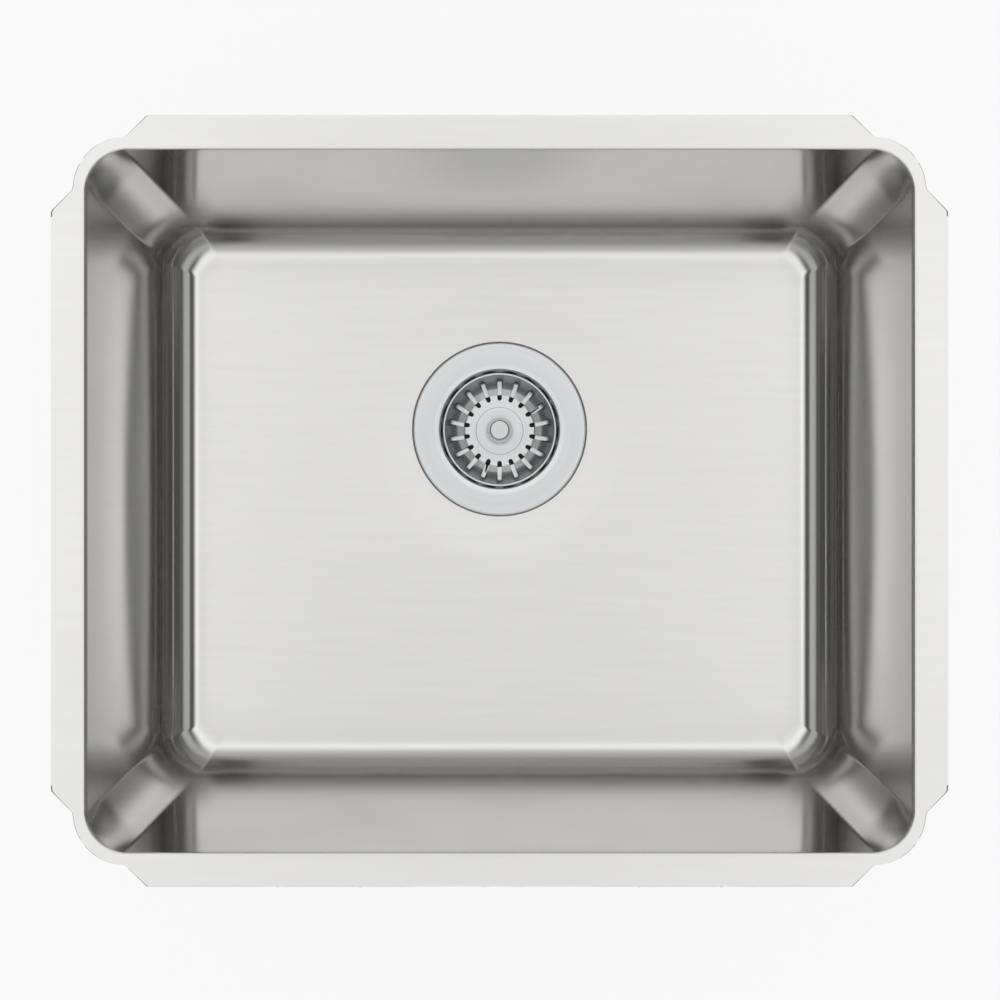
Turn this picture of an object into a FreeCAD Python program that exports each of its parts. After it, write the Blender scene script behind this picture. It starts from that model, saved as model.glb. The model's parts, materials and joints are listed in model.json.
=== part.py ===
import FreeCAD, Part
import math
import os
import types

import Sketcher
from FreeCAD import Placement, Rotation, Vector

# An undermount kitchen sink: a pressed stainless bowl with a flat glue flange, rubber sound pads
# on its outside, and a basket strainer waste clamped through the hole in its floor.
#
# Frame: millimetres, +Z up.  The origin is the centre of the bowl's opening in the plane of the
# flange's top face, +X is the bowl's long direction and +Y its back.

# ---------------------------------------------------------------------------------------------
# Driving dimensions: name in the sheet, value, and what it measures.
# ---------------------------------------------------------------------------------------------
DIMENSIONS = [
    # bowl
    ("opening_width", 470.0, "opening between the side walls"),
    ("opening_depth", 399.0, "opening between the front and back walls"),
    ("bowl_depth", 200.0, "flange face down to the floor"),
    ("sheet_gauge", 1.2, "bowl sheet"),
    ("wall_draft", 4.0, "lean of each wall, degrees"),
    ("press_radius", 23.5, "inside corners between two walls, and between walls and floor"),
    ("roll_radius", 0.8, "inside bend from wall to flange"),
    ("flange_width", 19.5, "flange along each side"),
    ("corner_flange_width", 7.0, "flange past the opening where a side ends"),
    ("flange_corner_radius", 29.5, "outside of the flange round each corner"),
    ("flange_tip_radius", 3.0, "rounded tips of the flange's wide strips"),
    ("flange_blend_radius", 4.0, "blend from a strip's end into the corner"),
    # floor of the bowl round the drain
    ("drain_offset", 48.0, "drain behind the bowl's centre"),
    ("dish_radius", 90.0, "where the floor starts to fall to the drain"),
    ("dish_fall", 2.0, "fall of the floor to the drain"),
    ("seat_radius", 58.5, "recessed seat for the strainer"),
    ("seat_step", 2.5, "depth of the seat below the dish"),
    ("seat_slope", 2.0, "lean of the step round the seat"),
    ("drain_hole_radius", 45.0, "hole in the floor"),
    # sound pads
    ("pad_thickness", 2.5, "rubber sound pads"),
    ("pad_corner_radius", 8.0, "corners of the pads"),
    ("wall_pad_height", 110.0, "pads on the walls, up the wall"),
    ("side_pad_length", 240.0, "pads on the left and right walls"),
    ("end_pad_length", 310.0, "pads on the front and back walls"),
    ("wall_pad_level", 88.0, "middle of the wall pads below the flange"),
    ("base_pad_width", 380.0, "pad under the floor"),
    ("base_pad_depth", 316.0, "pad under the floor, front to back"),
    ("base_pad_gap", 4.0, "pad's round hole clear of the dish"),
    # gaskets of the waste
    ("underside_gasket_inner_radius", 46.0, "gasket under the bowl's floor"),
    ("underside_gasket_outer_radius", 56.0, "the same, and the waste body's clamping ring"),
    ("flange_gasket_thickness", 1.5, "gasket under the strainer's flange, at its edge"),
    ("underside_gasket_thickness", 3.0, "gasket under the bowl's floor"),
    # strainer cup
    ("cup_gauge", 0.8, "strainer cup sheet"),
    ("cup_flange_radius", 57.0, "outer edge of the strainer's flange"),
    ("cup_edge_drop", 1.2, "turned-down edge below the flange's underside"),
    ("cup_flange_fall", 0.9, "fall of the flange to its mouth"),
    ("cup_mouth_radius", 44.2, "mouth of the cup"),
    ("cup_neck_radius", 40.2, "end of the flared mouth"),
    ("cup_neck_level", 12.0, "the same, below the strainer's top"),
    ("cup_belly_radius", 39.4, "lower end of the straight wall"),
    ("cup_belly_level", 26.0, "the same, below the strainer's top"),
    ("cup_floor_radius", 30.0, "floor of the cup"),
    ("cup_bend", 1.7, "inside bends of the cup"),
    ("cup_edge_bend", 0.5, "inside bend of the turned-down edge"),
    ("well_radius", 11.5, "well in the cup's floor for the clamp screw"),
    ("outlet_slot_inner", 14.2, "kidney slots, inner edge"),
    ("outlet_slot_outer", 22.2, "kidney slots, outer edge"),
    ("outlet_slot_angle", 34.0, "kidney slots, between the centres of their ends, degrees"),
    ("outlet_slot_count", 6, "kidney slots in the cup's floor"),
    # basket
    ("basket_gauge", 0.8, "basket sheet"),
    ("basket_depth", 34.1, "strainer's top down to the basket's floor"),
    ("basket_rim_drop", 10.4, "strainer's top down to the basket's rim"),
    ("basket_rim_radius", 38.5, "outside of the rim"),
    ("basket_mouth_radius", 37.0, "inside of the rim"),
    ("basket_rim_height", 1.8, "folded rim"),
    ("basket_floor_radius", 25.5, "floor of the basket"),
    ("basket_bend", 2.0, "inside bend from floor to cone"),
    ("basket_disc_radius", 16.2, "raised disc in the basket's floor"),
    ("basket_disc_step", 0.8, "rise of that disc"),
    ("basket_slot_inner", 20.6, "drain slots, inner end"),
    ("basket_slot_outer", 34.6, "drain slots, outer end"),
    ("basket_slot_width", 3.4, "drain slots"),
    ("basket_slot_count", 18, "drain slots"),
    # knob, stem and seal, which lift with the basket
    ("knob_radius", 6.8, "knob"),
    ("knob_height", 17.5, "knob"),
    ("knob_waist_radius", 5.6, "finger groove in the knob"),
    ("knob_waist_level", 9.0, "lower edge of the finger groove above the knob's foot"),
    ("knob_waist_height", 3.0, "finger groove"),
    ("knob_waist_lead", 0.6, "height of the slopes into the groove"),
    ("knob_edge_radius", 1.2, "rounded top of the knob"),
    ("stem_radius", 2.5, "stem"),
    ("stem_engagement", 10.0, "stem inside the knob"),
    ("stem_foot_radius", 3.1, "upset foot that holds the spring clip"),
    ("stem_foot_height", 1.0, "the same"),
    ("seal_thickness", 3.4, "rubber seal"),
    ("seal_radius", 27.0, "lip of the seal"),
    ("seal_hub_radius", 19.0, "thick middle of the seal"),
    ("seal_lip_thickness", 1.6, "lip of the seal"),
    ("seal_washer_radius", 9.6, "washer under the seal"),
    ("seal_washer_thickness", 1.0, "the same"),
    ("nut_across_flats", 8.0, "nut on the stem"),
    ("nut_height", 3.2, "the same"),
    ("clip_wall", 1.0, "spring clip round the stem"),
    ("clip_length", 14.0, "the same"),
    ("clip_slit_width", 1.2, "slits of the spring clip"),
    ("clip_slit_length", 10.0, "the same"),
    ("clip_slit_count", 4, "the same"),
    # clamp screw, insert and waste body
    ("screw_head_radius", 8.0, "clamp screw's head"),
    ("screw_head_height", 5.0, "the same"),
    ("screw_head_gap", 0.9, "nut above the clamp screw's head"),
    ("screw_slot_width", 2.6, "driving slot across the head"),
    ("screw_slot_depth", 2.2, "the same"),
    ("screw_radius", 6.0, "clamp screw's shank"),
    ("screw_length", 28.0, "the same, under the head"),
    ("screw_chamfer", 0.8, "chamfers of the head and of the tip"),
    ("clamp_washer_radius", 9.6, "washer under the head"),
    ("clamp_washer_thickness", 1.0, "the same"),
    ("insert_wall", 2.5, "threaded insert in the waste body"),
    ("insert_length", 18.0, "the same"),
    ("insert_tip", 2.0, "screw's tip past the insert"),
    ("body_ring_thickness", 4.5, "waste body's clamping ring"),
    ("chamber_radius", 46.0, "waste body's chamber"),
    ("chamber_depth", 20.0, "straight part of the chamber"),
    ("funnel_depth", 34.0, "waste body's funnel"),
    ("body_wall", 3.4, "waste body's walls"),
    ("outlet_radius", 23.9, "outlet thread, outside"),
    ("outlet_length", 28.0, "outlet thread"),
    ("boss_wall", 2.6, "boss round the insert"),
    ("web_thickness", 3.0, "webs that carry the boss"),
    ("web_depth", 16.0, "the same"),
    ("web_count", 4, "the same"),
    # clearances
    ("running_clearance", 0.05, "between parts that turn or slide"),
    ("seat_clearance", 0.3, "seal above its seat, washers and end play"),
    ("hole_clearance", 0.3, "holes round a screw or stem"),
]

OVERSHOOT = 1.0     # how far a cutting profile reaches past the material it cuts
FULL_TURN = 360.0
EDGE_MATCH = 0.02   # how near an edge lies to the place it is looked for


class Size:
    """A number together with the sheet expression that it comes from."""

    def __init__(self, value, text):
        self.value = value
        self.text = text

    def __add__(self, other):
        other = as_size(other)
        return Size(self.value + other.value, f"({self.text} + {other.text})")

    def __sub__(self, other):
        other = as_size(other)
        return Size(self.value - other.value, f"({self.text} - {other.text})")

    def __mul__(self, other):
        other = as_size(other)
        return Size(self.value * other.value, f"({self.text} * {other.text})")

    def __truediv__(self, other):
        other = as_size(other)
        return Size(self.value / other.value, f"({self.text} / {other.text})")

    def __neg__(self):
        return Size(-self.value, f"(0 - {self.text})")


def as_size(thing):
    """A Size from a Size or a plain number."""
    if isinstance(thing, Size):
        return thing
    return Size(float(thing), f"{float(thing):g}")


def tangent(angle):
    return Size(math.tan(math.radians(angle.value)), f"tan({angle.text})")


def sine(angle):
    return Size(math.sin(math.radians(angle.value)), f"sin({angle.text})")


def cosine(angle):
    return Size(math.cos(math.radians(angle.value)), f"cos({angle.text})")


def cosine_of_slope(slope):
    """Cosine of the angle whose tangent is the slope."""
    return Size(1 / math.hypot(1, slope.value), f"(1 / sqrt(1 + {slope.text} * {slope.text}))")


ZERO = as_size(0)
HEXAGON_SLANT = as_size(30)     # half the angle that one side of a hexagon spans


# ---------------------------------------------------------------------------------------------
# Document and sheet
# ---------------------------------------------------------------------------------------------
document = FreeCAD.newDocument("UndermountSink")
sheet = document.addObject("Spreadsheet::Sheet", "sizes")
for row, (alias, number, note) in enumerate(DIMENSIONS, start=1):
    sheet.set(f"A{row}", alias)
    sheet.set(f"B{row}", str(number))
    sheet.set(f"C{row}", note)
    sheet.setAlias(f"B{row}", alias)
document.recompute()

s = types.SimpleNamespace(**{name: Size(float(number), f"sizes.{name}") for name, number, _ in DIMENSIONS})

# Levels, from the flange's top face down.
floor_level = -s.bowl_depth
dish_level = floor_level - s.dish_fall
seat_level = dish_level - s.seat_step
seat_underside = seat_level - s.sheet_gauge
strainer_top = seat_level + s.flange_gasket_thickness + s.cup_gauge
rim_level = strainer_top - s.basket_rim_drop
basket_floor = strainer_top - s.basket_depth
basket_underside = basket_floor - s.basket_gauge
seal_bottom = basket_underside - s.seal_thickness
cup_floor = seal_bottom - s.seat_clearance
seal_washer_bottom = seal_bottom - s.seal_washer_thickness
nut_bottom = seal_washer_bottom - s.nut_height
head_top = nut_bottom - s.screw_head_gap
head_bottom = head_top - s.screw_head_height
well_floor = head_bottom - s.clamp_washer_thickness
clip_top = nut_bottom - s.seat_clearance
clip_bottom = clip_top - s.clip_length
stem_foot_top = clip_bottom - s.seat_clearance
stem_bottom = stem_foot_top - s.stem_foot_height
knob_bottom = basket_floor + s.basket_disc_step
screw_tip = head_bottom - s.screw_length
insert_bottom = screw_tip + s.insert_tip
insert_top = insert_bottom + s.insert_length
ring_top = seat_underside - s.underside_gasket_thickness
ring_bottom = ring_top - s.body_ring_thickness
chamber_bottom = ring_top - s.chamber_depth
funnel_bottom = chamber_bottom - s.funnel_depth
outlet_bottom = funnel_bottom - s.outlet_length

# Radii that follow from a part inside another.
clip_bore = s.stem_radius + s.running_clearance
clip_radius = clip_bore + s.clip_wall
screw_bore = clip_radius + s.running_clearance
insert_bore = s.screw_radius + s.running_clearance
insert_radius = insert_bore + s.insert_wall
boss_bore = insert_radius + s.running_clearance
boss_radius = boss_bore + s.boss_wall
outlet_bore = s.outlet_radius - s.body_wall
stem_hole = s.stem_radius + s.hole_clearance
screw_hole = s.screw_radius + s.hole_clearance


# ---------------------------------------------------------------------------------------------
# Bodies, sketches and features
# ---------------------------------------------------------------------------------------------
def new_body(name, forward=ZERO):
    """A body whose own Z axis stands `forward` behind the bowl's centre."""
    body = document.addObject("PartDesign::Body", name)
    body.Label = name
    body.Placement = Placement(Vector(0, forward.value, 0), Rotation())
    body.setExpression("Placement.Base.y", forward.text)
    return body


def new_sketch(body, name, role, lift=ZERO):
    """A sketch on one of the body's origin planes, lifted along that plane's normal."""
    plane = next(part for part in body.Origin.OriginFeatures if part.Role == role)
    sketch = body.newObject("Sketcher::SketchObject", name)
    sketch.AttachmentSupport = [(plane, "")]
    sketch.MapMode = "FlatFace"
    sketch.AttachmentOffset = Placement(Vector(0, 0, lift.value), Rotation())
    sketch.setExpression("AttachmentOffset.Base.z", lift.text)
    return sketch


def dimension(sketch, constraint, size):
    """Adds a dimensional constraint and binds it to its size."""
    index = sketch.addConstraint(constraint)
    name = f"size{index}"
    sketch.renameConstraint(index, name)
    sketch.setExpression(f"Constraints.{name}", size.text)


def place_point(sketch, line, end, across, up):
    """Fixes one end of a line at (across, up) in the sketch."""
    for kind, axis, size in (("DistanceX", -2, across), ("DistanceY", -1, up)):
        if size is ZERO:
            sketch.addConstraint(Sketcher.Constraint("PointOnObject", line, end, axis))
        else:
            dimension(sketch, Sketcher.Constraint(kind, -1, 1, line, end, size.value), size)


def chain_of_lines(sketch, points):
    """Closed lines through numeric points; returns the lines' numbers in order."""
    corners = [Vector(across, up, 0) for across, up in points]
    lines = []
    for start, stop in zip(corners, corners[1:] + corners[:1]):
        lines.append(sketch.addGeometry(Part.LineSegment(start, stop), False))
    for line, following in zip(lines, lines[1:] + lines[:1]):
        sketch.addConstraint(Sketcher.Constraint("Coincident", line, 2, following, 1))
    return lines


def round_corner(sketch, line, radius):
    """Rounds the corner at the end of a line, and keeps the sharp corner as a point."""
    sketch.fillet(line, 2, radius.value, True, True)
    arc = sketch.GeometryCount - 2
    dimension(sketch, Sketcher.Constraint("Radius", arc, radius.value), radius)


def draw_polygon(sketch, corners):
    """A closed outline whose corners are (across, up) or, where they are rounded, (across, up, radius)."""
    lines = chain_of_lines(sketch, [(corner[0].value, corner[1].value) for corner in corners])
    for line, corner in zip(lines, corners):
        place_point(sketch, line, 1, corner[0], corner[1])
    for line, corner in zip([lines[-1]] + lines, corners):
        if len(corner) > 2:
            round_corner(sketch, line, corner[2])


def draw_circle(sketch, radius, across=ZERO, up=ZERO):
    shape = Part.Circle(Vector(across.value, up.value, 0), Vector(0, 0, 1), radius.value)
    circle = sketch.addGeometry(shape, False)
    place_point(sketch, circle, 3, across, up)
    dimension(sketch, Sketcher.Constraint("Radius", circle, radius.value), radius)


def draw_rounded_rectangle(sketch, width, depth, radius):
    """A rectangle round the sketch's origin with four equal corner arcs."""
    r = radius.value
    arm_x = width.value / 2 - r
    arm_y = depth.value / 2 - r
    quarter = math.pi / 2
    centres = [(arm_x, arm_y), (-arm_x, arm_y), (-arm_x, -arm_y), (arm_x, -arm_y)]
    arcs = []
    for turn, (x, y) in enumerate(centres):
        circle = Part.Circle(Vector(x, y, 0), Vector(0, 0, 1), r)
        arc = Part.ArcOfCircle(circle, turn * quarter, (turn + 1) * quarter)
        arcs.append(sketch.addGeometry(arc, False))
    lines = []
    for turn in range(4):
        start = sketch.getPoint(arcs[turn], 2)
        stop = sketch.getPoint(arcs[(turn + 1) % 4], 1)
        lines.append(sketch.addGeometry(Part.LineSegment(start, stop), False))
    for turn in range(4):
        sketch.addConstraint(Sketcher.Constraint("Tangent", arcs[turn], 2, lines[turn], 1))
        sketch.addConstraint(Sketcher.Constraint("Tangent", lines[turn], 2, arcs[(turn + 1) % 4], 1))
        sketch.addConstraint(Sketcher.Constraint("Horizontal" if turn % 2 == 0 else "Vertical", lines[turn]))
    for arc in arcs[1:]:
        sketch.addConstraint(Sketcher.Constraint("Equal", arcs[0], arc))
    sketch.addConstraint(Sketcher.Constraint("Symmetric", arcs[0], 3, arcs[2], 3, -1, 1))
    dimension(sketch, Sketcher.Constraint("Radius", arcs[0], r), radius)
    dimension(sketch, Sketcher.Constraint("DistanceX", lines[1], 1, lines[3], 1, width.value), width)
    dimension(sketch, Sketcher.Constraint("DistanceY", lines[2], 1, lines[0], 1, depth.value), depth)


def draw_slot(sketch, near, far, width):
    """A radial slot with round ends between the distances near and far."""
    r = width.value / 2
    left = near.value + r
    right = far.value - r
    quarter = math.pi / 2
    inner = Part.ArcOfCircle(Part.Circle(Vector(left, 0, 0), Vector(0, 0, 1), r), quarter, 3 * quarter)
    outer = Part.ArcOfCircle(Part.Circle(Vector(right, 0, 0), Vector(0, 0, 1), r), -quarter, quarter)
    inner_end = sketch.addGeometry(inner, False)
    outer_end = sketch.addGeometry(outer, False)
    lower = sketch.addGeometry(Part.LineSegment(Vector(left, -r, 0), Vector(right, -r, 0)), False)
    upper = sketch.addGeometry(Part.LineSegment(Vector(right, r, 0), Vector(left, r, 0)), False)
    for one, end, two, start in (
        (inner_end, 2, lower, 1),
        (lower, 2, outer_end, 1),
        (outer_end, 2, upper, 1),
        (upper, 2, inner_end, 1),
    ):
        sketch.addConstraint(Sketcher.Constraint("Tangent", one, end, two, start))
    dimension(sketch, Sketcher.Constraint("Radius", inner_end, r), width / 2)
    place_point(sketch, inner_end, 3, near + width / 2, ZERO)
    place_point(sketch, outer_end, 3, far - width / 2, ZERO)


def draw_kidney(sketch, inner, outer, angle):
    """A curved slot round the sketch's origin; `angle` lies between the centres of its ends."""
    half = math.radians(angle.value / 2)
    middle = (inner.value + outer.value) / 2
    cap = (outer.value - inner.value) / 2
    origin = Vector(0, 0, 0)
    axis = Vector(0, 0, 1)
    top = Vector(middle * math.cos(half), middle * math.sin(half), 0)
    bottom = Vector(top.x, -top.y, 0)
    far = sketch.addGeometry(Part.ArcOfCircle(Part.Circle(origin, axis, outer.value), -half, half), False)
    near = sketch.addGeometry(Part.ArcOfCircle(Part.Circle(origin, axis, inner.value), -half, half), False)
    upper = sketch.addGeometry(Part.ArcOfCircle(Part.Circle(top, axis, cap), half, half + math.pi), False)
    lower = sketch.addGeometry(Part.ArcOfCircle(Part.Circle(bottom, axis, cap), -half - math.pi, -half), False)
    for arc in (far, near):
        sketch.addConstraint(Sketcher.Constraint("Coincident", arc, 3, -1, 1))
    sketch.addConstraint(Sketcher.Constraint("Tangent", far, 2, upper, 1))
    sketch.addConstraint(Sketcher.Constraint("Tangent", upper, 2, near, 2))
    sketch.addConstraint(Sketcher.Constraint("Tangent", near, 1, lower, 1))
    sketch.addConstraint(Sketcher.Constraint("Tangent", lower, 2, far, 1))
    dimension(sketch, Sketcher.Constraint("Radius", far, outer.value), outer)
    dimension(sketch, Sketcher.Constraint("Radius", near, inner.value), inner)
    rise = (inner + outer) / 2 * sine(angle / 2)
    dimension(sketch, Sketcher.Constraint("DistanceY", -1, 1, upper, 3, rise.value), rise)
    dimension(sketch, Sketcher.Constraint("DistanceY", -1, 1, lower, 3, -rise.value), -rise)


def add_pad(body, sketch, length, downward=False):
    pad = body.newObject("PartDesign::Pad", f"{sketch.Name}_pad")
    pad.Profile = sketch
    pad.Length = length.value
    pad.setExpression("Length", length.text)
    pad.Reversed = downward
    document.recompute()
    return pad


def add_pocket_through(body, sketch):
    """Cuts the sketch through the whole body, both ways."""
    pocket = body.newObject("PartDesign::Pocket", f"{sketch.Name}_pocket")
    pocket.Profile = sketch
    pocket.Type = "ThroughAll"
    pocket.Midplane = True
    document.recompute()
    return pocket


def add_pocket(body, sketch, length):
    """Cuts the sketch downwards by a length."""
    pocket = body.newObject("PartDesign::Pocket", f"{sketch.Name}_pocket")
    pocket.Profile = sketch
    pocket.Length = length.value
    pocket.setExpression("Length", length.text)
    document.recompute()
    return pocket


def add_turn(body, name, corners, kind="Revolution", forward=ZERO):
    """Turns a profile of (radius, level) pairs round an upright axis."""
    sketch = new_sketch(body, name, "XZ_Plane", -forward)
    draw_polygon(sketch, corners)
    return turn_sketch(body, sketch, kind)


def turn_sketch(body, sketch, kind="Revolution"):
    turned = body.newObject(f"PartDesign::{kind}", f"{sketch.Name}_turned")
    turned.Profile = sketch
    turned.ReferenceAxis = (sketch, ["V_Axis"])
    turned.Angle = FULL_TURN
    document.recompute()
    return turned


def add_polar_pattern(body, feature, count):
    """Repeats a feature evenly round the body's own Z axis."""
    axis = next(part for part in body.Origin.OriginFeatures if part.Role == "Z_Axis")
    pattern = body.newObject("PartDesign::PolarPattern", f"{feature.Name}_pattern")
    pattern.Originals = [feature]
    pattern.Axis = (axis, [""])
    pattern.Angle = FULL_TURN
    pattern.Occurrences = int(count.value)
    pattern.setExpression("Occurrences", count.text)
    body.Tip = pattern
    document.recompute()
    return pattern


def add_fillet(body, base, edges, radius, name):
    fillet = body.newObject("PartDesign::Fillet", name)
    fillet.Base = (base, edges)
    fillet.Radius = radius.value
    fillet.setExpression("Radius", radius.text)
    document.recompute()
    return fillet


def add_draft(body, base, faces, angle, name):
    """Leans walls inwards towards the floor, about the body's XY plane."""
    plane = next(part for part in body.Origin.OriginFeatures if part.Role == "XY_Plane")
    draft = body.newObject("PartDesign::Draft", name)
    draft.Base = (base, faces)
    draft.NeutralPlane = (plane, [""])
    draft.Angle = angle.value
    draft.setExpression("Angle", angle.text)
    draft.Reversed = True
    document.recompute()
    return draft


def add_shell(body, base, open_faces, gauge, name):
    """Wraps a sheet round the outside of the body, open at the given faces."""
    shell = body.newObject("PartDesign::Thickness", name)
    shell.Base = (base, open_faces)
    shell.Value = gauge.value
    shell.setExpression("Value", gauge.text)
    shell.Reversed = False
    document.recompute()
    return shell


def is_upright(face):
    return abs(face.normalAt(0, 0).z) < EDGE_MATCH


def faces_where(shape, test):
    """Names of the shape's faces that pass the test."""
    return [f"Face{number}" for number, face in enumerate(shape.Faces, start=1) if test(face)]


def edges_where(shape, test):
    """Names of the shape's edges that pass the test."""
    return [f"Edge{number}" for number, edge in enumerate(shape.Edges, start=1) if test(edge)]


def offset_points(points, distance):
    """The same open line of points, moved sideways to its right by a distance."""
    normals = []
    for start, stop in zip(points, points[1:]):
        run = math.dist(start, stop)
        normals.append(((stop[1] - start[1]) / run, (start[0] - stop[0]) / run))
    moved = []
    for index, point in enumerate(points):
        one = normals[max(index - 1, 0)]
        two = normals[min(index, len(normals) - 1)]
        share = distance / (1 + one[0] * two[0] + one[1] * two[1])
        moved.append((point[0] + share * (one[0] + two[0]), point[1] + share * (one[1] + two[1])))
    return moved


def add_pressing(body, name, corners, gauge):
    """A turned sheet: one face follows the corners, the other lies a gauge to their right.

    A corner is (radius, level, bend): its hollow side is rounded by the bend, and its other side
    by the bend and a gauge more.  A corner whose bend is None stays sharp, as the two ends do.
    """
    face = [(across.value, up.value) for across, up, _ in corners]
    back = offset_points(face, gauge.value)
    sketch = new_sketch(body, name, "XZ_Plane")
    lines = chain_of_lines(sketch, face + back[::-1])
    runs = len(face) - 1
    for line, (across, up, _) in zip(lines, corners):
        place_point(sketch, line, 1, across, up)
    for step in range(runs):
        behind = lines[2 * runs - step]
        sketch.addConstraint(Sketcher.Constraint("Parallel", lines[step], behind))
        dimension(sketch, Sketcher.Constraint("Distance", behind, 1, lines[step], gauge.value), gauge)
    sketch.addConstraint(Sketcher.Constraint("Perpendicular", lines[runs - 1], lines[runs]))
    sketch.addConstraint(Sketcher.Constraint("Perpendicular", lines[0], lines[-1]))
    for step in range(1, runs):
        before, here, after = face[step - 1:step + 2]
        bend = corners[step][2]
        if bend is None:
            continue
        turn = (here[0] - before[0]) * (after[1] - here[1]) - (here[1] - before[1]) * (after[0] - here[0])
        round_corner(sketch, lines[step - 1], bend if turn > 0 else bend + gauge)
        round_corner(sketch, lines[2 * runs - step], bend + gauge if turn > 0 else bend)
    return turn_sketch(body, sketch)


# ---------------------------------------------------------------------------------------------
# Bowl
# ---------------------------------------------------------------------------------------------
def make_bowl():
    """Pressed sheet: leaned walls, rounded corners and foot, a flat flange, a dished floor and its seat."""
    body = new_body("bowl")

    # the hollow as a solid block, then a sheet of the gauge round it, open at the top
    opening = new_sketch(body, "opening", "XY_Plane")
    half_w = s.opening_width / 2
    half_d = s.opening_depth / 2
    draw_polygon(opening, [(-half_w, -half_d), (half_w, -half_d), (half_w, half_d), (-half_w, half_d)])
    block = add_pad(body, opening, s.bowl_depth, downward=True)
    leaned = add_draft(body, block, faces_where(block.Shape, is_upright), s.wall_draft, "leaned_walls")
    pressed_edges = edges_where(leaned.Shape, lambda edge: edge.BoundBox.ZMin < -EDGE_MATCH)
    pressed = add_fillet(body, leaned, pressed_edges, s.press_radius, "pressed_corners")
    mouth = faces_where(pressed.Shape, lambda face: face.BoundBox.ZMin > -EDGE_MATCH)
    add_shell(body, pressed, mouth, s.sheet_gauge, "sheet")

    # flange: the rounded plate that follows the corners, then the wide strips
    plate = new_sketch(body, "flange_plate", "XY_Plane")
    border = s.corner_flange_width * 2
    draw_rounded_rectangle(
        plate,
        s.opening_width + border,
        s.opening_depth + border,
        s.flange_corner_radius,
    )
    draw_rounded_rectangle(
        plate,
        s.opening_width + s.sheet_gauge,
        s.opening_depth + s.sheet_gauge,
        s.press_radius + s.sheet_gauge / 2,
    )
    add_pad(body, plate, s.sheet_gauge, downward=True)
    taper = s.flange_width - s.corner_flange_width
    side_x = half_w + s.flange_width
    base_x = half_w + s.corner_flange_width
    side_y = half_d + s.flange_width
    base_y = half_d + s.corner_flange_width
    long_x = base_x - s.flange_corner_radius
    long_y = base_y - s.flange_corner_radius
    strips = new_sketch(body, "side_strips", "XY_Plane")
    for side in (1, -1):
        draw_polygon(strips, [
            (base_x * side, -long_y), (side_x * side, -(long_y - taper)),
            (side_x * side, long_y - taper), (base_x * side, long_y),
        ])
    add_pad(body, strips, s.sheet_gauge, downward=True)
    strips = new_sketch(body, "end_strips", "XY_Plane")
    for side in (1, -1):
        draw_polygon(strips, [
            (-long_x, base_y * side), (-(long_x - taper), side_y * side),
            (long_x - taper, side_y * side), (long_x, base_y * side),
        ])
    flange = add_pad(body, strips, s.sheet_gauge, downward=True)

    def upright_at(places):
        def test(edge):
            middle = edge.CenterOfMass
            lying = abs(edge.BoundBox.ZLength - s.sheet_gauge.value) > EDGE_MATCH
            if lying or edge.BoundBox.XLength > EDGE_MATCH or edge.BoundBox.YLength > EDGE_MATCH:
                return False
            return any(math.dist((abs(middle.x), abs(middle.y)), place) < EDGE_MATCH for place in places)
        return test

    tips = [(side_x.value, (long_y - taper).value), ((long_x - taper).value, side_y.value)]
    blends = [(base_x.value, long_y.value), (long_x.value, base_y.value)]
    pointed = edges_where(flange.Shape, upright_at(tips))
    flange = add_fillet(body, flange, pointed, s.flange_tip_radius, "strip_tips")
    blended = edges_where(flange.Shape, upright_at(blends))
    add_fillet(body, flange, blended, s.flange_blend_radius, "strip_blends")

    # dish, seat and drain hole
    half_gauge = s.sheet_gauge / 2
    step_radius = s.seat_radius + s.seat_slope
    add_turn(body, "dish_underside", [
        (s.dish_radius, floor_level - half_gauge),
        (s.dish_radius, floor_level - s.sheet_gauge),
        (step_radius + s.sheet_gauge, dish_level - s.sheet_gauge),
        (s.seat_radius + s.sheet_gauge, seat_underside),
        (ZERO, seat_underside),
        (ZERO, floor_level - half_gauge),
    ], forward=s.drain_offset)
    dished = add_turn(body, "dish", [
        (ZERO, floor_level + OVERSHOOT),
        (s.dish_radius, floor_level + OVERSHOOT),
        (s.dish_radius, floor_level),
        (step_radius, dish_level),
        (s.seat_radius, seat_level),
        (s.drain_hole_radius, seat_level),
        (s.drain_hole_radius, seat_underside - OVERSHOOT),
        (ZERO, seat_underside - OVERSHOOT),
    ], kind="Groove", forward=s.drain_offset)

    # rolled edge between the flange and the walls
    def bend_line(level):
        """Edges at a level that run round the walls, and not those of the flange's outer edge."""
        reach_x = (half_w + s.sheet_gauge * 2).value
        reach_y = (half_d + s.sheet_gauge * 2).value

        def test(edge):
            box = edge.BoundBox
            lying = abs(box.ZMin - level.value) < EDGE_MATCH and abs(box.ZMax - level.value) < EDGE_MATCH
            inside = max(-box.XMin, box.XMax) < reach_x and max(-box.YMin, box.YMax) < reach_y
            return lying and inside
        return test

    mouth_edges = edges_where(dished.Shape, bend_line(ZERO))
    rolled = add_fillet(body, dished, mouth_edges, s.roll_radius + s.sheet_gauge, "rim_roll")
    throat_edges = edges_where(rolled.Shape, bend_line(-s.sheet_gauge))
    add_fillet(body, rolled, throat_edges, s.roll_radius, "rim_roll_underside")
    return body


# ---------------------------------------------------------------------------------------------
# Sound pads
# ---------------------------------------------------------------------------------------------
def make_base_pad():
    body = new_body("base_sound_pad")
    bottom = floor_level - s.sheet_gauge - s.pad_thickness
    sketch = new_sketch(body, "base_pad_outline", "XY_Plane", bottom)
    draw_rounded_rectangle(sketch, s.base_pad_width, s.base_pad_depth, s.pad_corner_radius)
    draw_circle(sketch, s.dish_radius + s.base_pad_gap, ZERO, s.drain_offset)
    add_pad(body, sketch, s.pad_thickness)
    return body


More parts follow.
